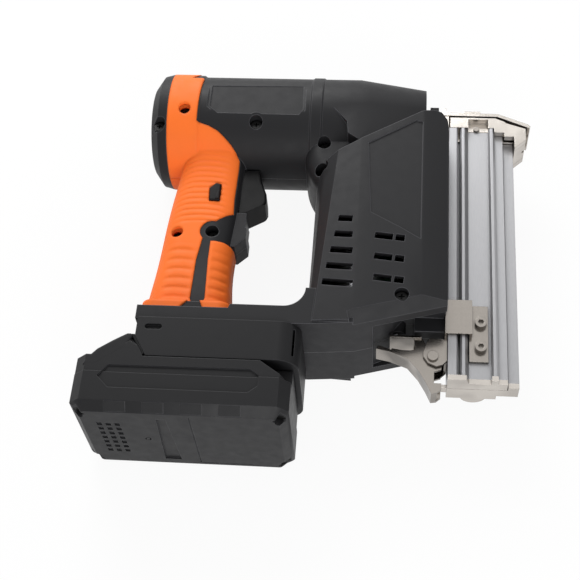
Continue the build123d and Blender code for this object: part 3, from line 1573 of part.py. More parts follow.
with BuildPart() as battery_cover:
    battery_shell(battery_half - 0.5, 0, battery_top, battery_split)
    for side in (-1, 1):
        with BuildSketch(level(side * shoulder_half)):
            polygon(shoulder)
        extrude(amount=side * 20, mode=Mode.SUBTRACT)
    with BuildPart(mode=Mode.PRIVATE) as hump:
        with BuildSketch(level(-battery_half + 0.5)):
            polygon(hump_outline)
        extrude(amount=2 * battery_half - 1)
        ridge = hump.edges().filter_by(lambda e: e.center().Y > -95 and abs(e.tangent_at(0.5).Z) < 0.1)
        chamfer(ridge.filter_by(lambda e: e.center().X < -96.0), length=3.0)
    add(hump.part)
    box((rail_left, rail_right), (battery_top - 1, head_top), (-rail_neck_half, rail_neck_half))
    box((rail_left, rail_right), (head_bottom, head_top), (-rail_half, rail_half))
    cover_room = (battery_left + 4, battery_right - 6)
    box(cover_room, (battery_split - 1, battery_top - 2.5), (-22, 22), Mode.SUBTRACT)
    box((battery_left + 8, -27), (battery_split - 1, battery_top - 2.5), (-30, 30), Mode.SUBTRACT)
    for side in (-1, 1):
        with BuildSketch(level(side * battery_half)):
            polygon(side_recess)
        extrude(amount=-side * (side_recess_depth + 0.5), mode=Mode.SUBTRACT)
    for x in battery_screw_x:
        for z in (-battery_screw_z, battery_screw_z):
            spot = (x, mid_z + z)
            if x < -60:
                disc(across_y(battery_split + 6), spot, 3.4, 6)
            bite = across_y(battery_split + screw_bite)
            disc(bite, spot, screw_shank_radius + run_fit, 6, mode=Mode.SUBTRACT)
    for blade in range(terminal_count):
        z = terminal_pitch * (blade - 2)
        box((-30, rail_right + 1), (-84, head_top + 1), (z - 1.2, z + 1.2), Mode.SUBTRACT)
    with BuildSketch(level(-button_half - seat_gap)):
        polygon(button_pocket, seat_gap)
    extrude(amount=2 * (button_half + seat_gap), mode=Mode.SUBTRACT)
save(battery_cover, "battery_cover")

with BuildPart() as battery_terminals:
    for blade in range(terminal_count):
        z = terminal_pitch * (blade - 2)
        box((-29.6, -25), (-83.8, -77), (z - 1.0, z + 1.0))
save(battery_terminals, "battery_terminals")

with BuildPart() as battery_cells:
    for cell in range(cell_count):
        spot = (-106 + 19.5 * cell, battery_split - 0.1 - cell_radius)
        disc(level(-cell_length / 2), spot, cell_radius, cell_length)
save(battery_cells, "battery_cells")

with BuildPart() as battery_screws:
    for x in battery_screw_x:
        for z in (-battery_screw_z, battery_screw_z):
            spot = (x, mid_z + z)
            disc(across_y(battery_screw_seat), spot, 2.6, 1.8)
            length = battery_split + screw_bite - 0.2 - battery_screw_seat
            disc(across_y(battery_screw_seat + length), spot, screw_shank_radius, length)
save(battery_screws, "battery_screws")

with BuildPart() as battery_button:
    with BuildSketch(level(-button_half)):
        polygon(button_outline)
    extrude(amount=2 * button_half)
save(battery_button, "battery_button")
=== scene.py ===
import bpy
import bmesh
import json
import math
from mathutils import Vector, Matrix


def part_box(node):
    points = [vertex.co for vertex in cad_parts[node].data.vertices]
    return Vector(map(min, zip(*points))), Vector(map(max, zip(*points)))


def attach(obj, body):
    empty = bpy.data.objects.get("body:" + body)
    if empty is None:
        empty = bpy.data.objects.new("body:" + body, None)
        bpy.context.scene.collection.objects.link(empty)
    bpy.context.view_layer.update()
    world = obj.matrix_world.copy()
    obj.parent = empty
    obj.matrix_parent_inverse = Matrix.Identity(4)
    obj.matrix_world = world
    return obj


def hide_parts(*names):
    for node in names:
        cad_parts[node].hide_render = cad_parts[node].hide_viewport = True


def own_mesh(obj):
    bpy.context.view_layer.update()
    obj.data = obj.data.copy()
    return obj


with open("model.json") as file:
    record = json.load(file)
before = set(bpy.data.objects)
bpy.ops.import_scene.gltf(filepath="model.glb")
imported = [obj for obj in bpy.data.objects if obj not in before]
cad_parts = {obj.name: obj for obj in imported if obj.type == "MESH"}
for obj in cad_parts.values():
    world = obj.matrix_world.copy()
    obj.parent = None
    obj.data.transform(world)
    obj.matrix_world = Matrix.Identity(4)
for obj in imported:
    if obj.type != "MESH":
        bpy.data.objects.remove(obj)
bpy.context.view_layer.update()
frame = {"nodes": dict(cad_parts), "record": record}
nodes = frame["nodes"]
bodyOf = {node: body for body, members in frame["record"]["behaviour"]["bodies"].items() for node in members}
print("frame loaded")

# a Mix node's places in its colour mode, because its inputs share their names with other modes
mixPlaces = {"first": 6, "second": 7, "result": 2}

# where the masks start and end: how square a face is to its softened edge, how much open space it sees,
# and how level it is
masks = {"edge": (0.995, 0.93), "hollow": (0.25, 0.85), "wall": (0.75, 0.25)}


# a material while its node tree is filled, with short calls for the nodes that the finishes share
class Shade:
    def __init__(self, name):
        self.mat = bpy.data.materials.new(name)
        self.mat.use_nodes = True
        self.tree = self.mat.node_tree
        self.shader = self.tree.nodes["Principled BSDF"]
        self.coord = self.tree.nodes.new("ShaderNodeTexCoord").outputs["Object"]

    def add(self, kind, **settings):
        node = self.tree.nodes.new(kind)
        for key, value in settings.items():
            setattr(node, key, value)
        return node

    def join(self, source, target):
        self.tree.links.new(source, target)

    def fill(self, target, value):
        # another node's output, a number or a colour goes into this input
        if isinstance(value, bpy.types.NodeSocket):
            self.join(value, target)
        elif isinstance(value, (int, float)):
            target.default_value = value
        else:
            target.default_value = (*value, 1)

    def math(self, operation, *values):
        node = self.add("ShaderNodeMath", operation=operation)
        for target, value in zip(node.inputs, values):
            self.fill(target, value)
        return node.outputs[0]

    def ramp(self, source, low, high, atLow=0, atHigh=1):
        node = self.add("ShaderNodeMapRange")
        for key, value in (("From Min", low), ("From Max", high), ("To Min", atLow), ("To Max", atHigh)):
            node.inputs[key].default_value = value
        self.join(source, node.inputs["Value"])
        return node.outputs["Result"]

    def mix(self, share, first, second, blend="MIX"):
        node = self.add("ShaderNodeMix", data_type="RGBA", blend_type=blend)
        self.fill(node.inputs["Factor"], share)
        self.fill(node.inputs[mixPlaces["first"]], first)
        self.fill(node.inputs[mixPlaces["second"]], second)
        return node.outputs[mixPlaces["result"]]

    def noise(self, look):
        # noise with lumps of this size in metres, drawn out where the look says so
        mapping = self.add("ShaderNodeMapping")
        mapping.inputs["Scale"].default_value = look.get("stretch", (1, 1, 1))
        self.join(self.coord, mapping.inputs["Vector"])
        node = self.add("ShaderNodeTexNoise")
        node.inputs["Scale"].default_value = 1.0 / look["size"]
        node.inputs["Detail"].default_value = look["detail"]
        self.join(mapping.outputs["Vector"], node.inputs["Vector"])
        return node.outputs["Fac"]

    def patches(self, look, atLow=0, atHigh=1):
        # soft patches between two values
        return self.ramp(self.noise(look), look["low"], look["high"], atLow, atHigh)

    def bump(self, height, strength, depth, below):
        node = self.add("ShaderNodeBump")
        node.inputs["Strength"].default_value = strength
        node.inputs["Distance"].default_value = depth
        self.join(height, node.inputs["Height"])
        self.join(below, node.inputs["Normal"])
        return node.outputs["Normal"]

    def softEdges(self, radius):
        node = self.add("ShaderNodeBevel", samples=8)
        node.inputs["Radius"].default_value = radius
        return node.outputs["Normal"]

    def faceNormal(self):
        return self.add("ShaderNodeNewGeometry").outputs["Normal"]

    def edgeMask(self, soft):
        # how far the softened edge leans away from the flat face
        node = self.add("ShaderNodeVectorMath", operation="DOT_PRODUCT")
        self.join(soft, node.inputs[0])
        self.join(self.faceNormal(), node.inputs[1])
        return self.ramp(node.outputs["Value"], *masks["edge"])

    def paintSeamShade(self, colour, reach, depth):
        # painted shade where faces meet closely, as in seams and under lips
        near = self.add("ShaderNodeAmbientOcclusion", samples=6)
        near.inputs["Distance"].default_value = reach
        shadow = self.ramp(near.outputs["AO"], *masks["hollow"], 1 - depth, 1)
        return self.mix(1.0, colour, shadow, "MULTIPLY")

    def paintWallReflection(self, colour, depth, look):
        # painted dark reflection: upright walls take a darker, patchy tone and level faces keep their own
        split = self.add("ShaderNodeSeparateXYZ")
        self.join(self.faceNormal(), split.inputs[0])
        wall = self.ramp(self.math("ABSOLUTE", split.outputs["Z"]), *masks["wall"])
        patch = self.patches(look, look["least"], 1)
        shadow = self.ramp(self.math("MULTIPLY", wall, patch), 0, 1, 1, 1 - depth)
        return self.mix(1.0, colour, shadow, "MULTIPLY")

    def clouded(self, colour, cloud):
        return self.mix(self.patches(cloud), colour, toned(colour, cloud["paler"]))

    def uneven(self, roughness, gloss):
        return self.patches(gloss, roughness - gloss["spread"], roughness + gloss["spread"])

    def grained(self, grain, below):
        return self.bump(self.noise(grain), grain["strength"], grain["depth"], below)

    def finish(self, colour, roughness, normal):
        for key, source in (("Base Color", colour), ("Roughness", roughness), ("Normal", normal)):
            self.join(source, self.shader.inputs[key])
        return self.mat


def toned(colour, factor):
    return [min(1, c * factor) for c in colour]


# spark-eroded plastic: faint clouds, slightly uneven gloss and a fine grain
plastic = {
    "cloud": {"size": 0.02, "detail": 4.0, "low": 0.35, "high": 0.7, "paler": 1.02},
    "gloss": {"size": 0.006, "detail": 5.0, "low": 0.3, "high": 0.7, "spread": 0.05},
    "grain": {"size": 0.0004, "detail": 2.0, "strength": 0.6, "depth": 0.00003},
}


def moulded(name, colour, roughness, edge=0.0007, edgeHighlight=4.5, shine=0.14):
    # the edges are painted paler by a factor, a painted highlight along them
    shade = Shade(name)
    shade.shader.inputs["Specular IOR Level"].default_value = shine
    edges = shade.softEdges(edge)
    # painted highlight: the softened edges are mixed towards a paler tone of the colour
    body = shade.mix(shade.edgeMask(edges), shade.clouded(colour, plastic["cloud"]), toned(colour, edgeHighlight))
    skin = shade.grained(plastic["grain"], edges)
    return shade.finish(body, shade.uneven(roughness, plastic["gloss"]), skin)


# metals: streaks in tone and gloss, painted shade in the seams, and painted dark reflections on the walls and
# rims of plated sheet
metals = {
    "streak": {"detail": 3.0, "low": 0.3, "high": 0.7, "smoother": 0.04, "rougher": 0.05, "strength": 0.5},
    "seam": {"reach": 0.0022, "depth": 0.45},
    "wallReflectionPatches": {"size": 0.016, "detail": 1.0, "low": 0.35, "high": 0.62, "least": 0.15},
    "rimReflection": {"share": 0.7, "tone": 0.45},
}


def metal(name, colour, roughness, stretch=(1, 1, 1), size=0.0008, depth=0.00001, edge=0.0003, dull=0.90,
          wallReflection=0.0):
    # dull is the tone of the darker streaks, and the last setting is how dark a painted reflection makes the
    # upright walls, whose rims then get a painted dark reflection too
    shade = Shade(name)
    shade.shader.inputs["Metallic"].default_value = 1.0
    look, seam, rimReflection = metals["streak"], metals["seam"], metals["rimReflection"]
    streak = shade.noise({"size": size, "detail": look["detail"], "stretch": stretch})
    edges = shade.softEdges(edge)
    body = shade.mix(shade.ramp(streak, look["low"], look["high"]), toned(colour, dull), colour)
    if wallReflection:
        # painted dark reflection on the upright walls, then on their rims
        body = shade.paintWallReflection(body, wallReflection, metals["wallReflectionPatches"])
        share = shade.math("MULTIPLY", shade.edgeMask(edges), rimReflection["share"])
        body = shade.mix(share, body, toned(colour, rimReflection["tone"]))
    gloss = (roughness - look["smoother"], roughness + look["rougher"])
    rough = shade.ramp(streak, look["low"], look["high"], *gloss)
    # painted shade in the seams
    body = shade.paintSeamShade(body, seam["reach"], seam["depth"])
    return shade.finish(body, rough, shade.bump(streak, look["strength"], depth, edges))


# ripples pressed into the soft grip: pitch, the heights they run between, how far across they reach and
# how they bow; run is the length over which they fade out, and full the share of the reach before they do
ripples = {
    "upper": {"pitch": 0.0040, "low": 0.006, "high": 0.058, "back": -0.088, "front": -0.054, "bow": 9.0},
    "lower": {"pitch": 0.0066, "low": -0.047, "high": -0.006, "back": -0.089, "front": -0.070, "bow": 14.0},
    "finger": {"pitch": 0.0066, "low": -0.047, "high": -0.010, "back": -0.062, "front": -0.051, "bow": -10.0},
    "depth": 0.00030, "run": 0.004, "full": 0.55, "sharpness": 2,
}

# soft rubber: its clouds, gloss and grain, and how dark the painted shade in the grooves is and how strongly
# it shows
softGrip = {
    "cloud": {"size": 0.02, "detail": 4.0, "low": 0.35, "high": 0.7, "paler": 1.05},
    "gloss": {"size": 0.005, "detail": 5.0, "low": 0.3, "high": 0.7, "spread": 0.05},
    "grain": {"size": 0.0005, "detail": 2.0, "strength": 0.5, "depth": 0.00003},
    "edge": 0.0024, "groove": 0.90, "grooveShare": 0.42, "shine": 0.22,
}


def rippleTone(shade, look):
    # how deep a groove of this set of ripples is at a spot, from none to one
    split = shade.add("ShaderNodeSeparateXYZ")
    shade.join(shade.coord, split.inputs[0])
    x, y = split.outputs["X"], split.outputs["Y"]
    away = shade.math("SUBTRACT", x, (look["back"] + look["front"]) / 2)
    bowed = shade.math("MULTIPLY_ADD", shade.math("MULTIPLY", away, away), look["bow"], y)
    wave = shade.math("SINE", shade.math("MULTIPLY", bowed, 2 * math.pi / look["pitch"]))
    wave = shade.math("POWER", shade.math("MULTIPLY_ADD", wave, 0.5, 0.5), ripples["sharpness"])
    reach = (look["front"] - look["back"]) / 2
    across = shade.ramp(shade.math("ABSOLUTE", away), reach * ripples["full"], reach, 1, 0)
    start = shade.ramp(y, look["low"], look["low"] + ripples["run"])
    end = shade.ramp(y, look["high"] - ripples["run"], look["high"], 1, 0)
    return shade.math("MULTIPLY", shade.math("MULTIPLY", wave, across), shade.math("MULTIPLY", start, end))


def grippy(name, colour, roughness):
    # soft overmould with painted shade in its grooves, which makes them a little darker than its ridges
    shade = Shade(name)
    shade.shader.inputs["Specular IOR Level"].default_value = softGrip["shine"]
    grooves = 0
    for part in ("upper", "lower", "finger"):
        grooves = shade.math("MAXIMUM", grooves, rippleTone(shade, ripples[part]))
    # painted shade: the grooves are mixed towards a darker tone
    share = shade.math("MULTIPLY", grooves, softGrip["grooveShare"])
    body = shade.mix(share, shade.clouded(colour, softGrip["cloud"]), toned(colour, softGrip["groove"]))
    skin = shade.grained(softGrip["grain"], shade.softEdges(softGrip["edge"]))
    skin = shade.bump(shade.math("MULTIPLY", grooves, -1), 1.0, ripples["depth"], skin)
    return shade.finish(body, shade.uneven(roughness, softGrip["gloss"]), skin)


# every finish with its colour and its roughness
finishes = {
    "housing": moulded("housingPlastic", (0.0150, 0.0150, 0.0163), 0.48),
    "battery": moulded("batteryPlastic", (0.0115, 0.0115, 0.0124), 0.45, edge=0.0005, edgeHighlight=2.6),
    # the pads carry a strong painted highlight along their edges
    "pads": moulded("padPlastic", (0.0115, 0.0115, 0.0124), 0.45, edge=0.00035, edgeHighlight=7.0),
    "black": moulded("blackPlastic", (0.0045, 0.0045, 0.0048), 0.42, shine=0.10),
    "grip": grippy("gripRubber", (0.90, 0.170, 0.022), 0.60),
    "rubber": moulded("blackRubber", (0.02, 0.02, 0.02), 0.7),
    "board": moulded("boardLaminate", (0.04, 0.20, 0.08), 0.3),
    "cells": moulded("cellSleeve", (0.06, 0.22, 0.45), 0.3),
    "aluminium": metal("magazineAluminium", (0.36, 0.36, 0.37), 0.44, stretch=(14, 0.2, 14), depth=0.000006,
                       dull=0.82),
    "nickel": metal("nickelPlate", (0.60, 0.56, 0.515), 0.22, size=0.012, depth=0.000001, edge=0.00025,
                    dull=0.93, wallReflection=0.22),
    "sheet": metal("platedSheet", (0.38, 0.35, 0.318), 0.20, size=0.0005, depth=0.000001, edge=0.00025,
                   wallReflection=0.55),
    "steel": metal("toolSteel", (0.50, 0.50, 0.52), 0.32, size=0.002),
    "darkScrew": metal("darkScrew", (0.020, 0.020, 0.020), 0.50),
    "casting": metal("castAluminium", (0.55, 0.56, 0.58), 0.50, size=0.0006, depth=0.00004),
    "brass": metal("contactBrass", (0.80, 0.60, 0.28), 0.25),
}

nodesOfFinish = {
    "housing": ["housing_right", "housing_left", "rear_cap"],
    "battery": ["battery_mount", "battery_case", "battery_cover", "battery_button", "trigger_switch",
                "cooling_fan"],
    "black": ["trigger", "lock_switch", "terminal_block", "brad_pusher", "depth_wheel"],
    "grip": ["rear_grip_right", "rear_grip_left", "front_grip_right", "front_grip_left"],
    "aluminium": ["magazine_rail", "magazine_slide"],
    "nickel": ["nose_block", "nose_cover", "contact_trip", "rail_end_cap", "slide_end_cap"],
    "sheet": ["latch_bracket", "latch_lever", "bracket_screws", "nose_screw", "latch_pin"],
    "steel": ["cylinder", "driver_blade", "lifter_wheel", "lifter_shaft", "bevel_gear", "bevel_pinion",
              "trigger_pin", "lifter_bearings", "brad_strip", "trigger_spring", "trip_spring", "latch_spring",
              "pusher_spring", "motor_can", "rotor"],
    "darkScrew": ["housing_screws", "rear_cap_screws", "battery_screws"],
    "casting": ["air_chamber", "piston", "gear_case", "gear_cover", "gearbox", "motor_end_cap"],
    "rubber": ["bumper", "piston_seal"],
    "board": ["circuit_board"],
    "cells": ["battery_cells"],
    "brass": ["battery_terminals"],
}

for finish, names in nodesOfFinish.items():
    for name in names:
        mesh = nodes[name].data
        mesh.materials.clear()
        mesh.materials.append(finishes[finish])
print("finishes on the frame")


def meshFrom(form, name):
    mesh = bpy.data.meshes.new(name)
    form.to_mesh(mesh)
    form.free()
    return mesh


def shownPiece(name, mesh):
    piece = bpy.data.objects.new(name, mesh)
    bpy.context.scene.collection.objects.link(piece)
    return piece


def plainMesh(piece):
    # what the piece's modifiers make of it, as a mesh of its own
    bpy.context.view_layer.update()
    return bpy.data.meshes.new_from_object(piece.evaluated_get(bpy.context.evaluated_depsgraph_get()))


def prism(outline, low, high):
    # closed upright block with this outline, between two heights
    form = bmesh.new()
    bottom = [form.verts.new((x, y, low)) for x, y in outline]
    top = [form.verts.new((x, y, high)) for x, y in outline]
    form.faces.new(bottom)
    form.faces.new(top)
    for i in range(len(outline)):
        j = (i + 1) % len(outline)
        form.faces.new((bottom[i], bottom[j], top[j], top[i]))
    bmesh.ops.recalc_face_normals(form, faces=form.faces)
    return form


# which ripples each grip has, and the cuts that its skin needs for them; lean is how level the skin is
# where the grooves start and where they are full, and near how close two cuts count as one
rippledNodes = {
    "rear_grip_right": ("upper", "lower"),
    "rear_grip_left": ("upper", "lower"),
    "front_grip_right": ("finger",),
    "front_grip_left": ("finger",),
}
rippleCuts = {"along": 0.0006, "across": 0.0026, "lean": (0.20, 0.55), "near": 0.0000005}


def fade(value, low, high):
    return max(0.0, min(1.0, (value - low) / (high - low)))


def rippleDepth(x, y, look):
    # the same grooves as in rippleTone, for the mesh
    away = x - (look["back"] + look["front"]) / 2
    reach = (look["front"] - look["back"]) / 2
    turns = (away * away * look["bow"] + y) / look["pitch"]
    wave = (0.5 + 0.5 * math.sin(2 * math.pi * turns)) ** ripples["sharpness"]
    ends = fade(y - look["low"], 0, ripples["run"]) * fade(look["high"] - y, 0, ripples["run"])
    return wave * ends * (1 - fade(abs(away), reach * ripples["full"], reach))


def pressRipples(form, node):
    # cuts the outer skin finely enough for the grooves, then sinks them
    looks = [ripples[part] for part in rippledNodes[node]]
    for look in looks:
        for axis, first, last, step in ((1, look["low"], look["high"], rippleCuts["along"]),
                                        (0, look["back"], look["front"], rippleCuts["across"])):
            for i in range(int((last - first) / step) + 1):
                spot = [0, 0, 0]
                facing = [0, 0, 0]
                spot[axis] = first + i * step
                facing[axis] = 1
                bmesh.ops.bisect_plane(form, geom=form.verts[:] + form.edges[:] + form.faces[:],
                                       dist=rippleCuts["near"], plane_co=spot, plane_no=facing)
    bmesh.ops.triangulate(form, faces=form.faces[:])
    form.normal_update()
    side = 1 if node.endswith("right") else -1
    moves = []
    for vert in form.verts:
        lean = fade(vert.normal.z * side, *rippleCuts["lean"])
        depth = max(rippleDepth(vert.co.x, vert.co.y, look) for look in looks) * lean * ripples["depth"]
        moves.append(vert.normal * -depth)
    for vert, move in zip(form.verts, moves):
        vert.co += move


# slot over the screw that holds the battery's shoe
mountSlot = {
    "middle": (-0.0852, -0.0740), "length": 0.0095, "width": 0.0034, "top": 0.0722, "bottom": 0.0695,
    "steps": 10,
}


def cutSlot(piece, look):
    x, y = look["middle"]
    radius = look["width"] / 2
    outline = []
    for side in (1, -1):
        for i in range(look["steps"] + 1):
            angle = math.pi * i / look["steps"] - side * math.pi / 2
            outline.append((x + side * (look["length"] / 2 - radius) + radius * math.cos(angle),
                            y + radius * math.sin(angle)))
    cutter = shownPiece("slotCutter", meshFrom(prism(outline, look["bottom"], look["top"]), "slotCutter"))
    cutter.data.materials.append(finishes["battery"])
    cut = piece.modifiers.new("slot", "BOOLEAN")
    cut.operation = "DIFFERENCE"
    cut.object = cutter
    shape = plainMesh(piece)
    piece.modifiers.remove(cut)
    bpy.data.objects.remove(cutter)
    piece.data = shape


# smoothed copies of the solids: points nearer than merge become one, and edges bent less than angle
# look round
smoothing = {"merge": 0.000002, "angle": 32}
smoothedNodes = (
    "housing_right", "housing_left", "rear_cap", "rear_grip_right", "rear_grip_left", "front_grip_right",
    "front_grip_left", "battery_mount", "battery_case", "battery_cover", "battery_button", "trigger",
    "lock_switch", "nose_block", "nose_cover", "contact_trip", "latch_bracket", "latch_lever", "rail_end_cap",
    "slide_end_cap", "magazine_rail", "magazine_slide", "latch_pin", "bracket_screws", "depth_wheel",
    "housing_screws", "rear_cap_screws", "battery_screws", "nose_screw", "trigger_pin",
)


def smoothCopy(node):
    # rides the node's body and stands in for the node
    mesh = nodes[node].data.copy()
    piece = shownPiece(node + "Shell", mesh)
    form = bmesh.new()
    form.from_mesh(mesh)
    bmesh.ops.remove_doubles(form, verts=form.verts, dist=smoothing["merge"])
    if node in rippledNodes:
        pressRipples(form, node)
    limit = math.radians(smoothing["angle"])
    for face in form.faces:
        face.smooth = True
    for edge in form.edges:
        edge.smooth = len(edge.link_faces) == 2 and edge.calc_face_angle(0) < limit
    form.to_mesh(mesh)
    form.free()
    if mesh.has_custom_normals:
        mesh.attributes.remove(mesh.attributes["custom_normal"])
    if node == "battery_mount":
        cutSlot(piece, mountSlot)
    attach(piece, bodyOf[node])
    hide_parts(node)
    return piece


for node in smoothedNodes:
    smoothCopy(node)
print("shells smoothed")

# springs that the pieces pressing them would shorten, each with that joint, its axis, its fixed end and its
# travel; here each only gets a smoothed copy with a mesh of its own
springs = {
    "trip_spring": {"joint": "trip_press", "axis": (1, 0, 0), "fixed": "low", "travel": 0.0030},
    "trigger_spring": {"joint": "trigger_pull", "axis": (1, 0, 0), "fixed": "low", "travel": 0.0018},
    "latch_spring": {"joint": "lever_tip", "axis": (0, 1, 0), "fixed": "high", "travel": 0.0025},
}
for name, look in springs.items():
    low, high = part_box(name)
    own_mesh(smoothCopy(name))


def socketId(group, name):
    return next(i.identifier for i in group.interface.items_tree if i.name == name and i.in_out == "INPUT")


def rowTree(name, unitObject, material):
    # copies of one object in a straight row, made plain and painted
    group = bpy.data.node_groups.new(name, "GeometryNodeTree")
    group.interface.new_socket("Geometry", in_out="OUTPUT", socket_type="NodeSocketGeometry")
    for socket, kind in (("Geometry", "Geometry"), ("Count", "Int"), ("Start", "Vector"), ("Step", "Vector")):
        group.interface.new_socket(socket, in_out="INPUT", socket_type="NodeSocket" + kind)
    start = group.nodes.new("NodeGroupInput")
    end = group.nodes.new("NodeGroupOutput")
    line = group.nodes.new("GeometryNodeMeshLine")
    line.mode = "OFFSET"
    source = group.nodes.new("GeometryNodeObjectInfo")
    source.inputs["Object"].default_value = unitObject
    place = group.nodes.new("GeometryNodeInstanceOnPoints")
    plain = group.nodes.new("GeometryNodeRealizeInstances")
    paint = group.nodes.new("GeometryNodeSetMaterial")
    paint.inputs["Material"].default_value = material
    link = group.links.new
    link(start.outputs["Count"], line.inputs["Count"])
    link(start.outputs["Start"], line.inputs["Start Location"])
    link(start.outputs["Step"], line.inputs["Offset"])
    link(line.outputs["Mesh"], place.inputs["Points"])
    link(source.outputs["Geometry"], place.inputs["Instance"])
    link(place.outputs["Instances"], plain.inputs["Geometry"])
    link(plain.outputs["Geometry"], paint.inputs["Geometry"])
    link(paint.outputs["Geometry"], end.inputs["Geometry"])
    return group


def repeatAlong(pieceName, unit, values, material, body):
    unitObject = shownPiece(pieceName + "Unit", unit)
    carrier = shownPiece(pieceName + "Carrier", bpy.data.meshes.new(pieceName + "Seed"))
    row = carrier.modifiers.new("row", "NODES")
    row.node_group = rowTree(pieceName + "Row", unitObject, material)
    for key, value in values.items():
        row[socketId(row.node_group, key)] = value
    shape = plainMesh(carrier)
    bpy.data.objects.remove(carrier)
    bpy.data.objects.remove(unitObject)
    shape.name = pieceName
    piece = shownPiece(pieceName, shape)
    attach(piece, body)
    return piece


def bevelledBlock(name, size, edge, turn=0.0):
    # block about its own middle, turned about X, with small bevels
    form = bmesh.new()
    bmesh.ops.create_cube(form, size=1.0)
    bmesh.ops.scale(form, vec=size, verts=form.verts)
    bmesh.ops.bevel(form, geom=form.edges, offset=edge, segments=2, affect="EDGES", profile=0.6)
    bmesh.ops.rotate(form, cent=(0, 0, 0), matrix=Matrix.Rotation(turn, 3, "X"), verts=form.verts)
    return meshFrom(form, name)


# pads let into the bevel along the battery's lower edges; lean is the bevel's slope in degrees, and drop
# the way from the corner to its middle
edgePads = {
    "count": 4, "length": 0.0118, "height": 0.0062, "thickness": 0.0016, "edge": 0.0003, "lean": 45,
    "proud": 0.00015, "pitch": 0.02035, "first": -0.0997, "drop": 0.0025,
}
caseLow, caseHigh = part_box("battery_case")
for side, name in ((1, "edgePadsRight"), (-1, "edgePadsLeft")):
    lean = math.radians(edgePads["lean"])
    size = (edgePads["length"], edgePads["height"], edgePads["thickness"])
    unit = bevelledBlock(name + "Block", size, edgePads["edge"], side * lean)
    inset = edgePads["drop"] + (edgePads["thickness"] / 2 - edgePads["proud"]) * math.cos(lean)
    z = (caseHigh[2] if side > 0 else caseLow[2]) - side * inset
    repeatAlong(name, unit, {
        "Count": edgePads["count"],
        "Start": (edgePads["first"], caseLow[1] + inset, z),
        "Step": (edgePads["pitch"], 0, 0),
    }, finishes["pads"], "battery")

# the brads, glued side by side; shorter is what each lacks of the strip's width
brads = {"pitch": 0.00125, "wire": 0.0011, "thickness": 0.00098, "edge": 0.00015, "shorter": 0.0002}
stripLow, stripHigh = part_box("brad_strip")
size = (stripHigh[0] - stripLow[0] - brads["shorter"], brads["wire"], brads["thickness"])
unit = bevelledBlock("bradWire", size, brads["edge"])
middleX = (stripLow[0] + stripHigh[0]) / 2
middleZ = (stripLow[2] + stripHigh[2]) / 2
strip = repeatAlong("brads", unit, {
    "Count": int((stripHigh[1] - stripLow[1]) / brads["pitch"]),
    "Start": (middleX, stripLow[1] + brads["pitch"] / 2, middleZ),
    "Step": (0, brads["pitch"], 0),
}, finishes["steel"], "tool")
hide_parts("brad_strip")
print("repeated pieces made")

# soft sleeves in the two screw holes that the grip covers: the middle of each, and its two heights
gripSleeve = {
    "outer": 0.0039, "inner": 0.00345, "steps": 32,
    "spots": ((-0.0865, 0.0795, 0.0650, 0.0702), (-0.0840, 0.0009, 0.0440, 0.0510)),
}


def sleeveMesh(name, look):
    form = bmesh.new()
    steps = look["steps"]
    angles = [2 * math.pi * i / steps for i in range(steps)]
    for x, y, low, high in look["spots"]:
        rings = []
        for side, z in (("outer", low), ("outer", high), ("inner", high), ("inner", low)):
            rings.append([form.verts.new((x + look[side] * math.cos(a), y + look[side] * math.sin(a), z))
                          for a in angles])
        for first, second in zip(rings, rings[1:] + rings[:1]):
            for i in range(steps):
                j = (i + 1) % steps
                form.faces.new((first[i], first[j], second[j], second[i]))
    bmesh.ops.recalc_face_normals(form, faces=form.faces)
    mesh = meshFrom(form, name)
    mesh.shade_smooth()
    return mesh


sleeves = shownPiece("gripSleeves", sleeveMesh("gripSleeves", gripSleeve))
sleeves.data.materials.append(finishes["grip"])
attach(sleeves, "tool")
print("sleeves made")


def plateMesh(name, look, low, high):
    # prism with softened rims
    form = prism(look["outline"], low, high)
    rim = [e for e in form.edges if e.verts[0].co.z == e.verts[1].co.z]
    bmesh.ops.bevel(form, geom=rim, offset=look["edge"], segments=3, affect="EDGES", profile=0.6)
    return meshFrom(form, name)


# dark filler on the battery's hump, in front of the shoe's sloping end, a dark piece standing in for the
# shade in the slit there: three points along the hump, then three back along the shoe
humpLip = {
    "outline": ((-0.09640, -0.07930), (-0.09535, -0.08120), (-0.08900, -0.09180),
                (-0.08809, -0.09090), (-0.09462, -0.08018), (-0.09462, -0.07930)),
    "low": 0.0012, "high": 0.0718, "edge": 0.00015,
}
shadeFill = shownPiece("humpLip", plateMesh("humpLip", humpLip, humpLip["low"], humpLip["high"]))
shadeFill.data.materials.append(finishes["black"])
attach(shadeFill, "battery")
print("hump lip made")

# full shoulder of the battery's hump
humpShoulder = {
    "outline": ((-0.1203, -0.0991), (-0.1196, -0.0962), (-0.1136, -0.0892), (-0.1060, -0.0838),
                (-0.0986, -0.0792), (-0.0965, -0.0792), (-0.0957, -0.0806), (-0.0985, -0.0880),
                (-0.1130, -0.0992)),
    "low": 0.00048, "high": 0.07252, "edge": 0.0012,
}
shoulderMesh = plateMesh("humpShoulder", humpShoulder, humpShoulder["low"], humpShoulder["high"])
shoulder = shownPiece("humpShoulder", shoulderMesh)
shoulder.data.materials.append(finishes["battery"])
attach(shoulder, "battery")
print("hump shoulder made")

# raised ridge on each end of the lock switch
lockRidge = {
    "outline": ((-0.06215, 0.0344), (-0.06140, 0.0344), (-0.06140, 0.0240), (-0.06370, 0.0240),
                (-0.06330, 0.0262), (-0.06225, 0.0300)),
    "sunk": 0.0003, "proud": 0.0007, "edge": 0.0002,
}
lockLow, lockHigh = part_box("lock_switch")
for name, low, high in (("lockRidgeRight", lockHigh[2] - lockRidge["sunk"], lockHigh[2] + lockRidge["proud"]),
                        ("lockRidgeLeft", lockLow[2] - lockRidge["proud"], lockLow[2] + lockRidge["sunk"])):
    ridge = shownPiece(name, plateMesh(name, lockRidge, low, high))
    ridge.data.materials.append(finishes["black"])
    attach(ridge, "lock")
print("lock ridges made")


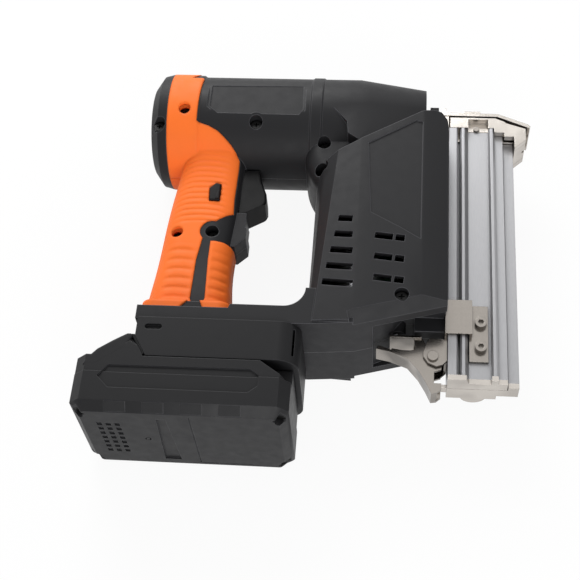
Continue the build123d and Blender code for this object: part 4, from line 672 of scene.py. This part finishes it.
def whiteForCamera(tree, shader, output, share):
    # seen straight or in a mirror it glows white by this share, and otherwise it only takes light
    path = tree.nodes.new("ShaderNodeLightPath")
    seen = path.outputs["Is Camera Ray"]
    for ray in ("Is Glossy Ray", "Is Transmission Ray"):
        either = tree.nodes.new("ShaderNodeMath")
        either.operation = "MAXIMUM"
        tree.links.new(seen, either.inputs[0])
        tree.links.new(path.outputs[ray], either.inputs[1])
        seen = either.outputs[0]
    part = tree.nodes.new("ShaderNodeMath")
    part.operation = "MULTIPLY"
    part.inputs[1].default_value = share
    tree.links.new(seen, part.inputs[0])
    isMaterial = output.bl_idname == "ShaderNodeOutputMaterial"
    white = tree.nodes.new("ShaderNodeEmission" if isMaterial else "ShaderNodeBackground")
    white.inputs["Color"].default_value = (1, 1, 1, 1)
    white.inputs["Strength"].default_value = 1.0
    mix = tree.nodes.new("ShaderNodeMixShader")
    tree.links.new(part.outputs[0], mix.inputs["Fac"])
    tree.links.new(shader, mix.inputs[1])
    tree.links.new(white.outputs[0], mix.inputs[2])
    tree.links.new(mix.outputs[0], output.inputs["Surface"])


# paper floor in an evenly white studio
studio = {"floorSize": 6.0, "floorTone": 0.86, "floorRoughness": 0.9, "floorWhite": 0.92, "light": 0.50}
half = studio["floorSize"] / 2
floorMesh = bpy.data.meshes.new("floor")
floorCorners = [(-half, -half, 0), (half, -half, 0), (half, half, 0), (-half, half, 0)]
floorMesh.from_pydata(floorCorners, [], [(0, 1, 2, 3)])
floor = shownPiece("floor", floorMesh)
floorMat = bpy.data.materials.new("floorPaper")
floorMat.use_nodes = True
paper = floorMat.node_tree.nodes["Principled BSDF"]
paper.inputs["Base Color"].default_value = (*[studio["floorTone"]] * 3, 1)
paper.inputs["Roughness"].default_value = studio["floorRoughness"]
paperOutput = floorMat.node_tree.nodes["Material Output"]
whiteForCamera(floorMat.node_tree, paper.outputs[0], paperOutput, studio["floorWhite"])
floorMesh.materials.append(floorMat)

world = bpy.data.worlds.new("studio")
bpy.context.scene.world = world
world.use_nodes = True
sky = world.node_tree.nodes["Background"]
sky.inputs["Color"].default_value = (1, 1, 1, 1)
sky.inputs["Strength"].default_value = studio["light"]
whiteForCamera(world.node_tree, sky.outputs[0], world.node_tree.nodes["World Output"], 1.0)

# wide soft lamps beyond the barrel and beyond the battery, so that the upper faces stay darker than the
# walls
lamps = {
    "keyLamp": {"place": (-0.35, 1.05, 0.75), "power": 15.0, "size": 0.8},
    "fillLamp": {"place": (0.25, -1.15, 0.45), "power": 11.5, "size": 0.8},
}
lampAim = (0, 0, 0.03)
for name, look in lamps.items():
    light = bpy.data.lights.new(name, "AREA")
    light.energy = look["power"]
    light.size = look["size"]
    lamp = shownPiece(name, light)
    lamp.location = look["place"]
    lamp.rotation_euler = (Vector(lampAim) - Vector(look["place"])).to_track_quat("-Z", "Y").to_euler()

# the camera stands high on the battery's side and looks down across the tool
view = {
    "place": (0.04506, -0.39004, 0.63172), "lens": 74.36, "sensor": 36.0, "nearest": 0.01,
    "right": (0.99564706, 0.07354964, -0.05724837),
    "up": (-0.03282985, 0.85161382, 0.52314061),
    "ahead": (-0.08723031, 0.51898396, -0.85032142),
}
lens = bpy.data.cameras.new("viewCamera")
lens.sensor_width = view["sensor"]
lens.lens = view["lens"]
lens.clip_start = view["nearest"]
camera = shownPiece("viewCamera", lens)
turn = Matrix((view["right"], view["up"], -Vector(view["ahead"]))).transposed().to_4x4()
camera.matrix_world = Matrix.Translation(view["place"]) @ turn
bpy.context.scene.camera = camera
bpy.context.scene.view_settings.view_transform = "Standard"
print("stage set")
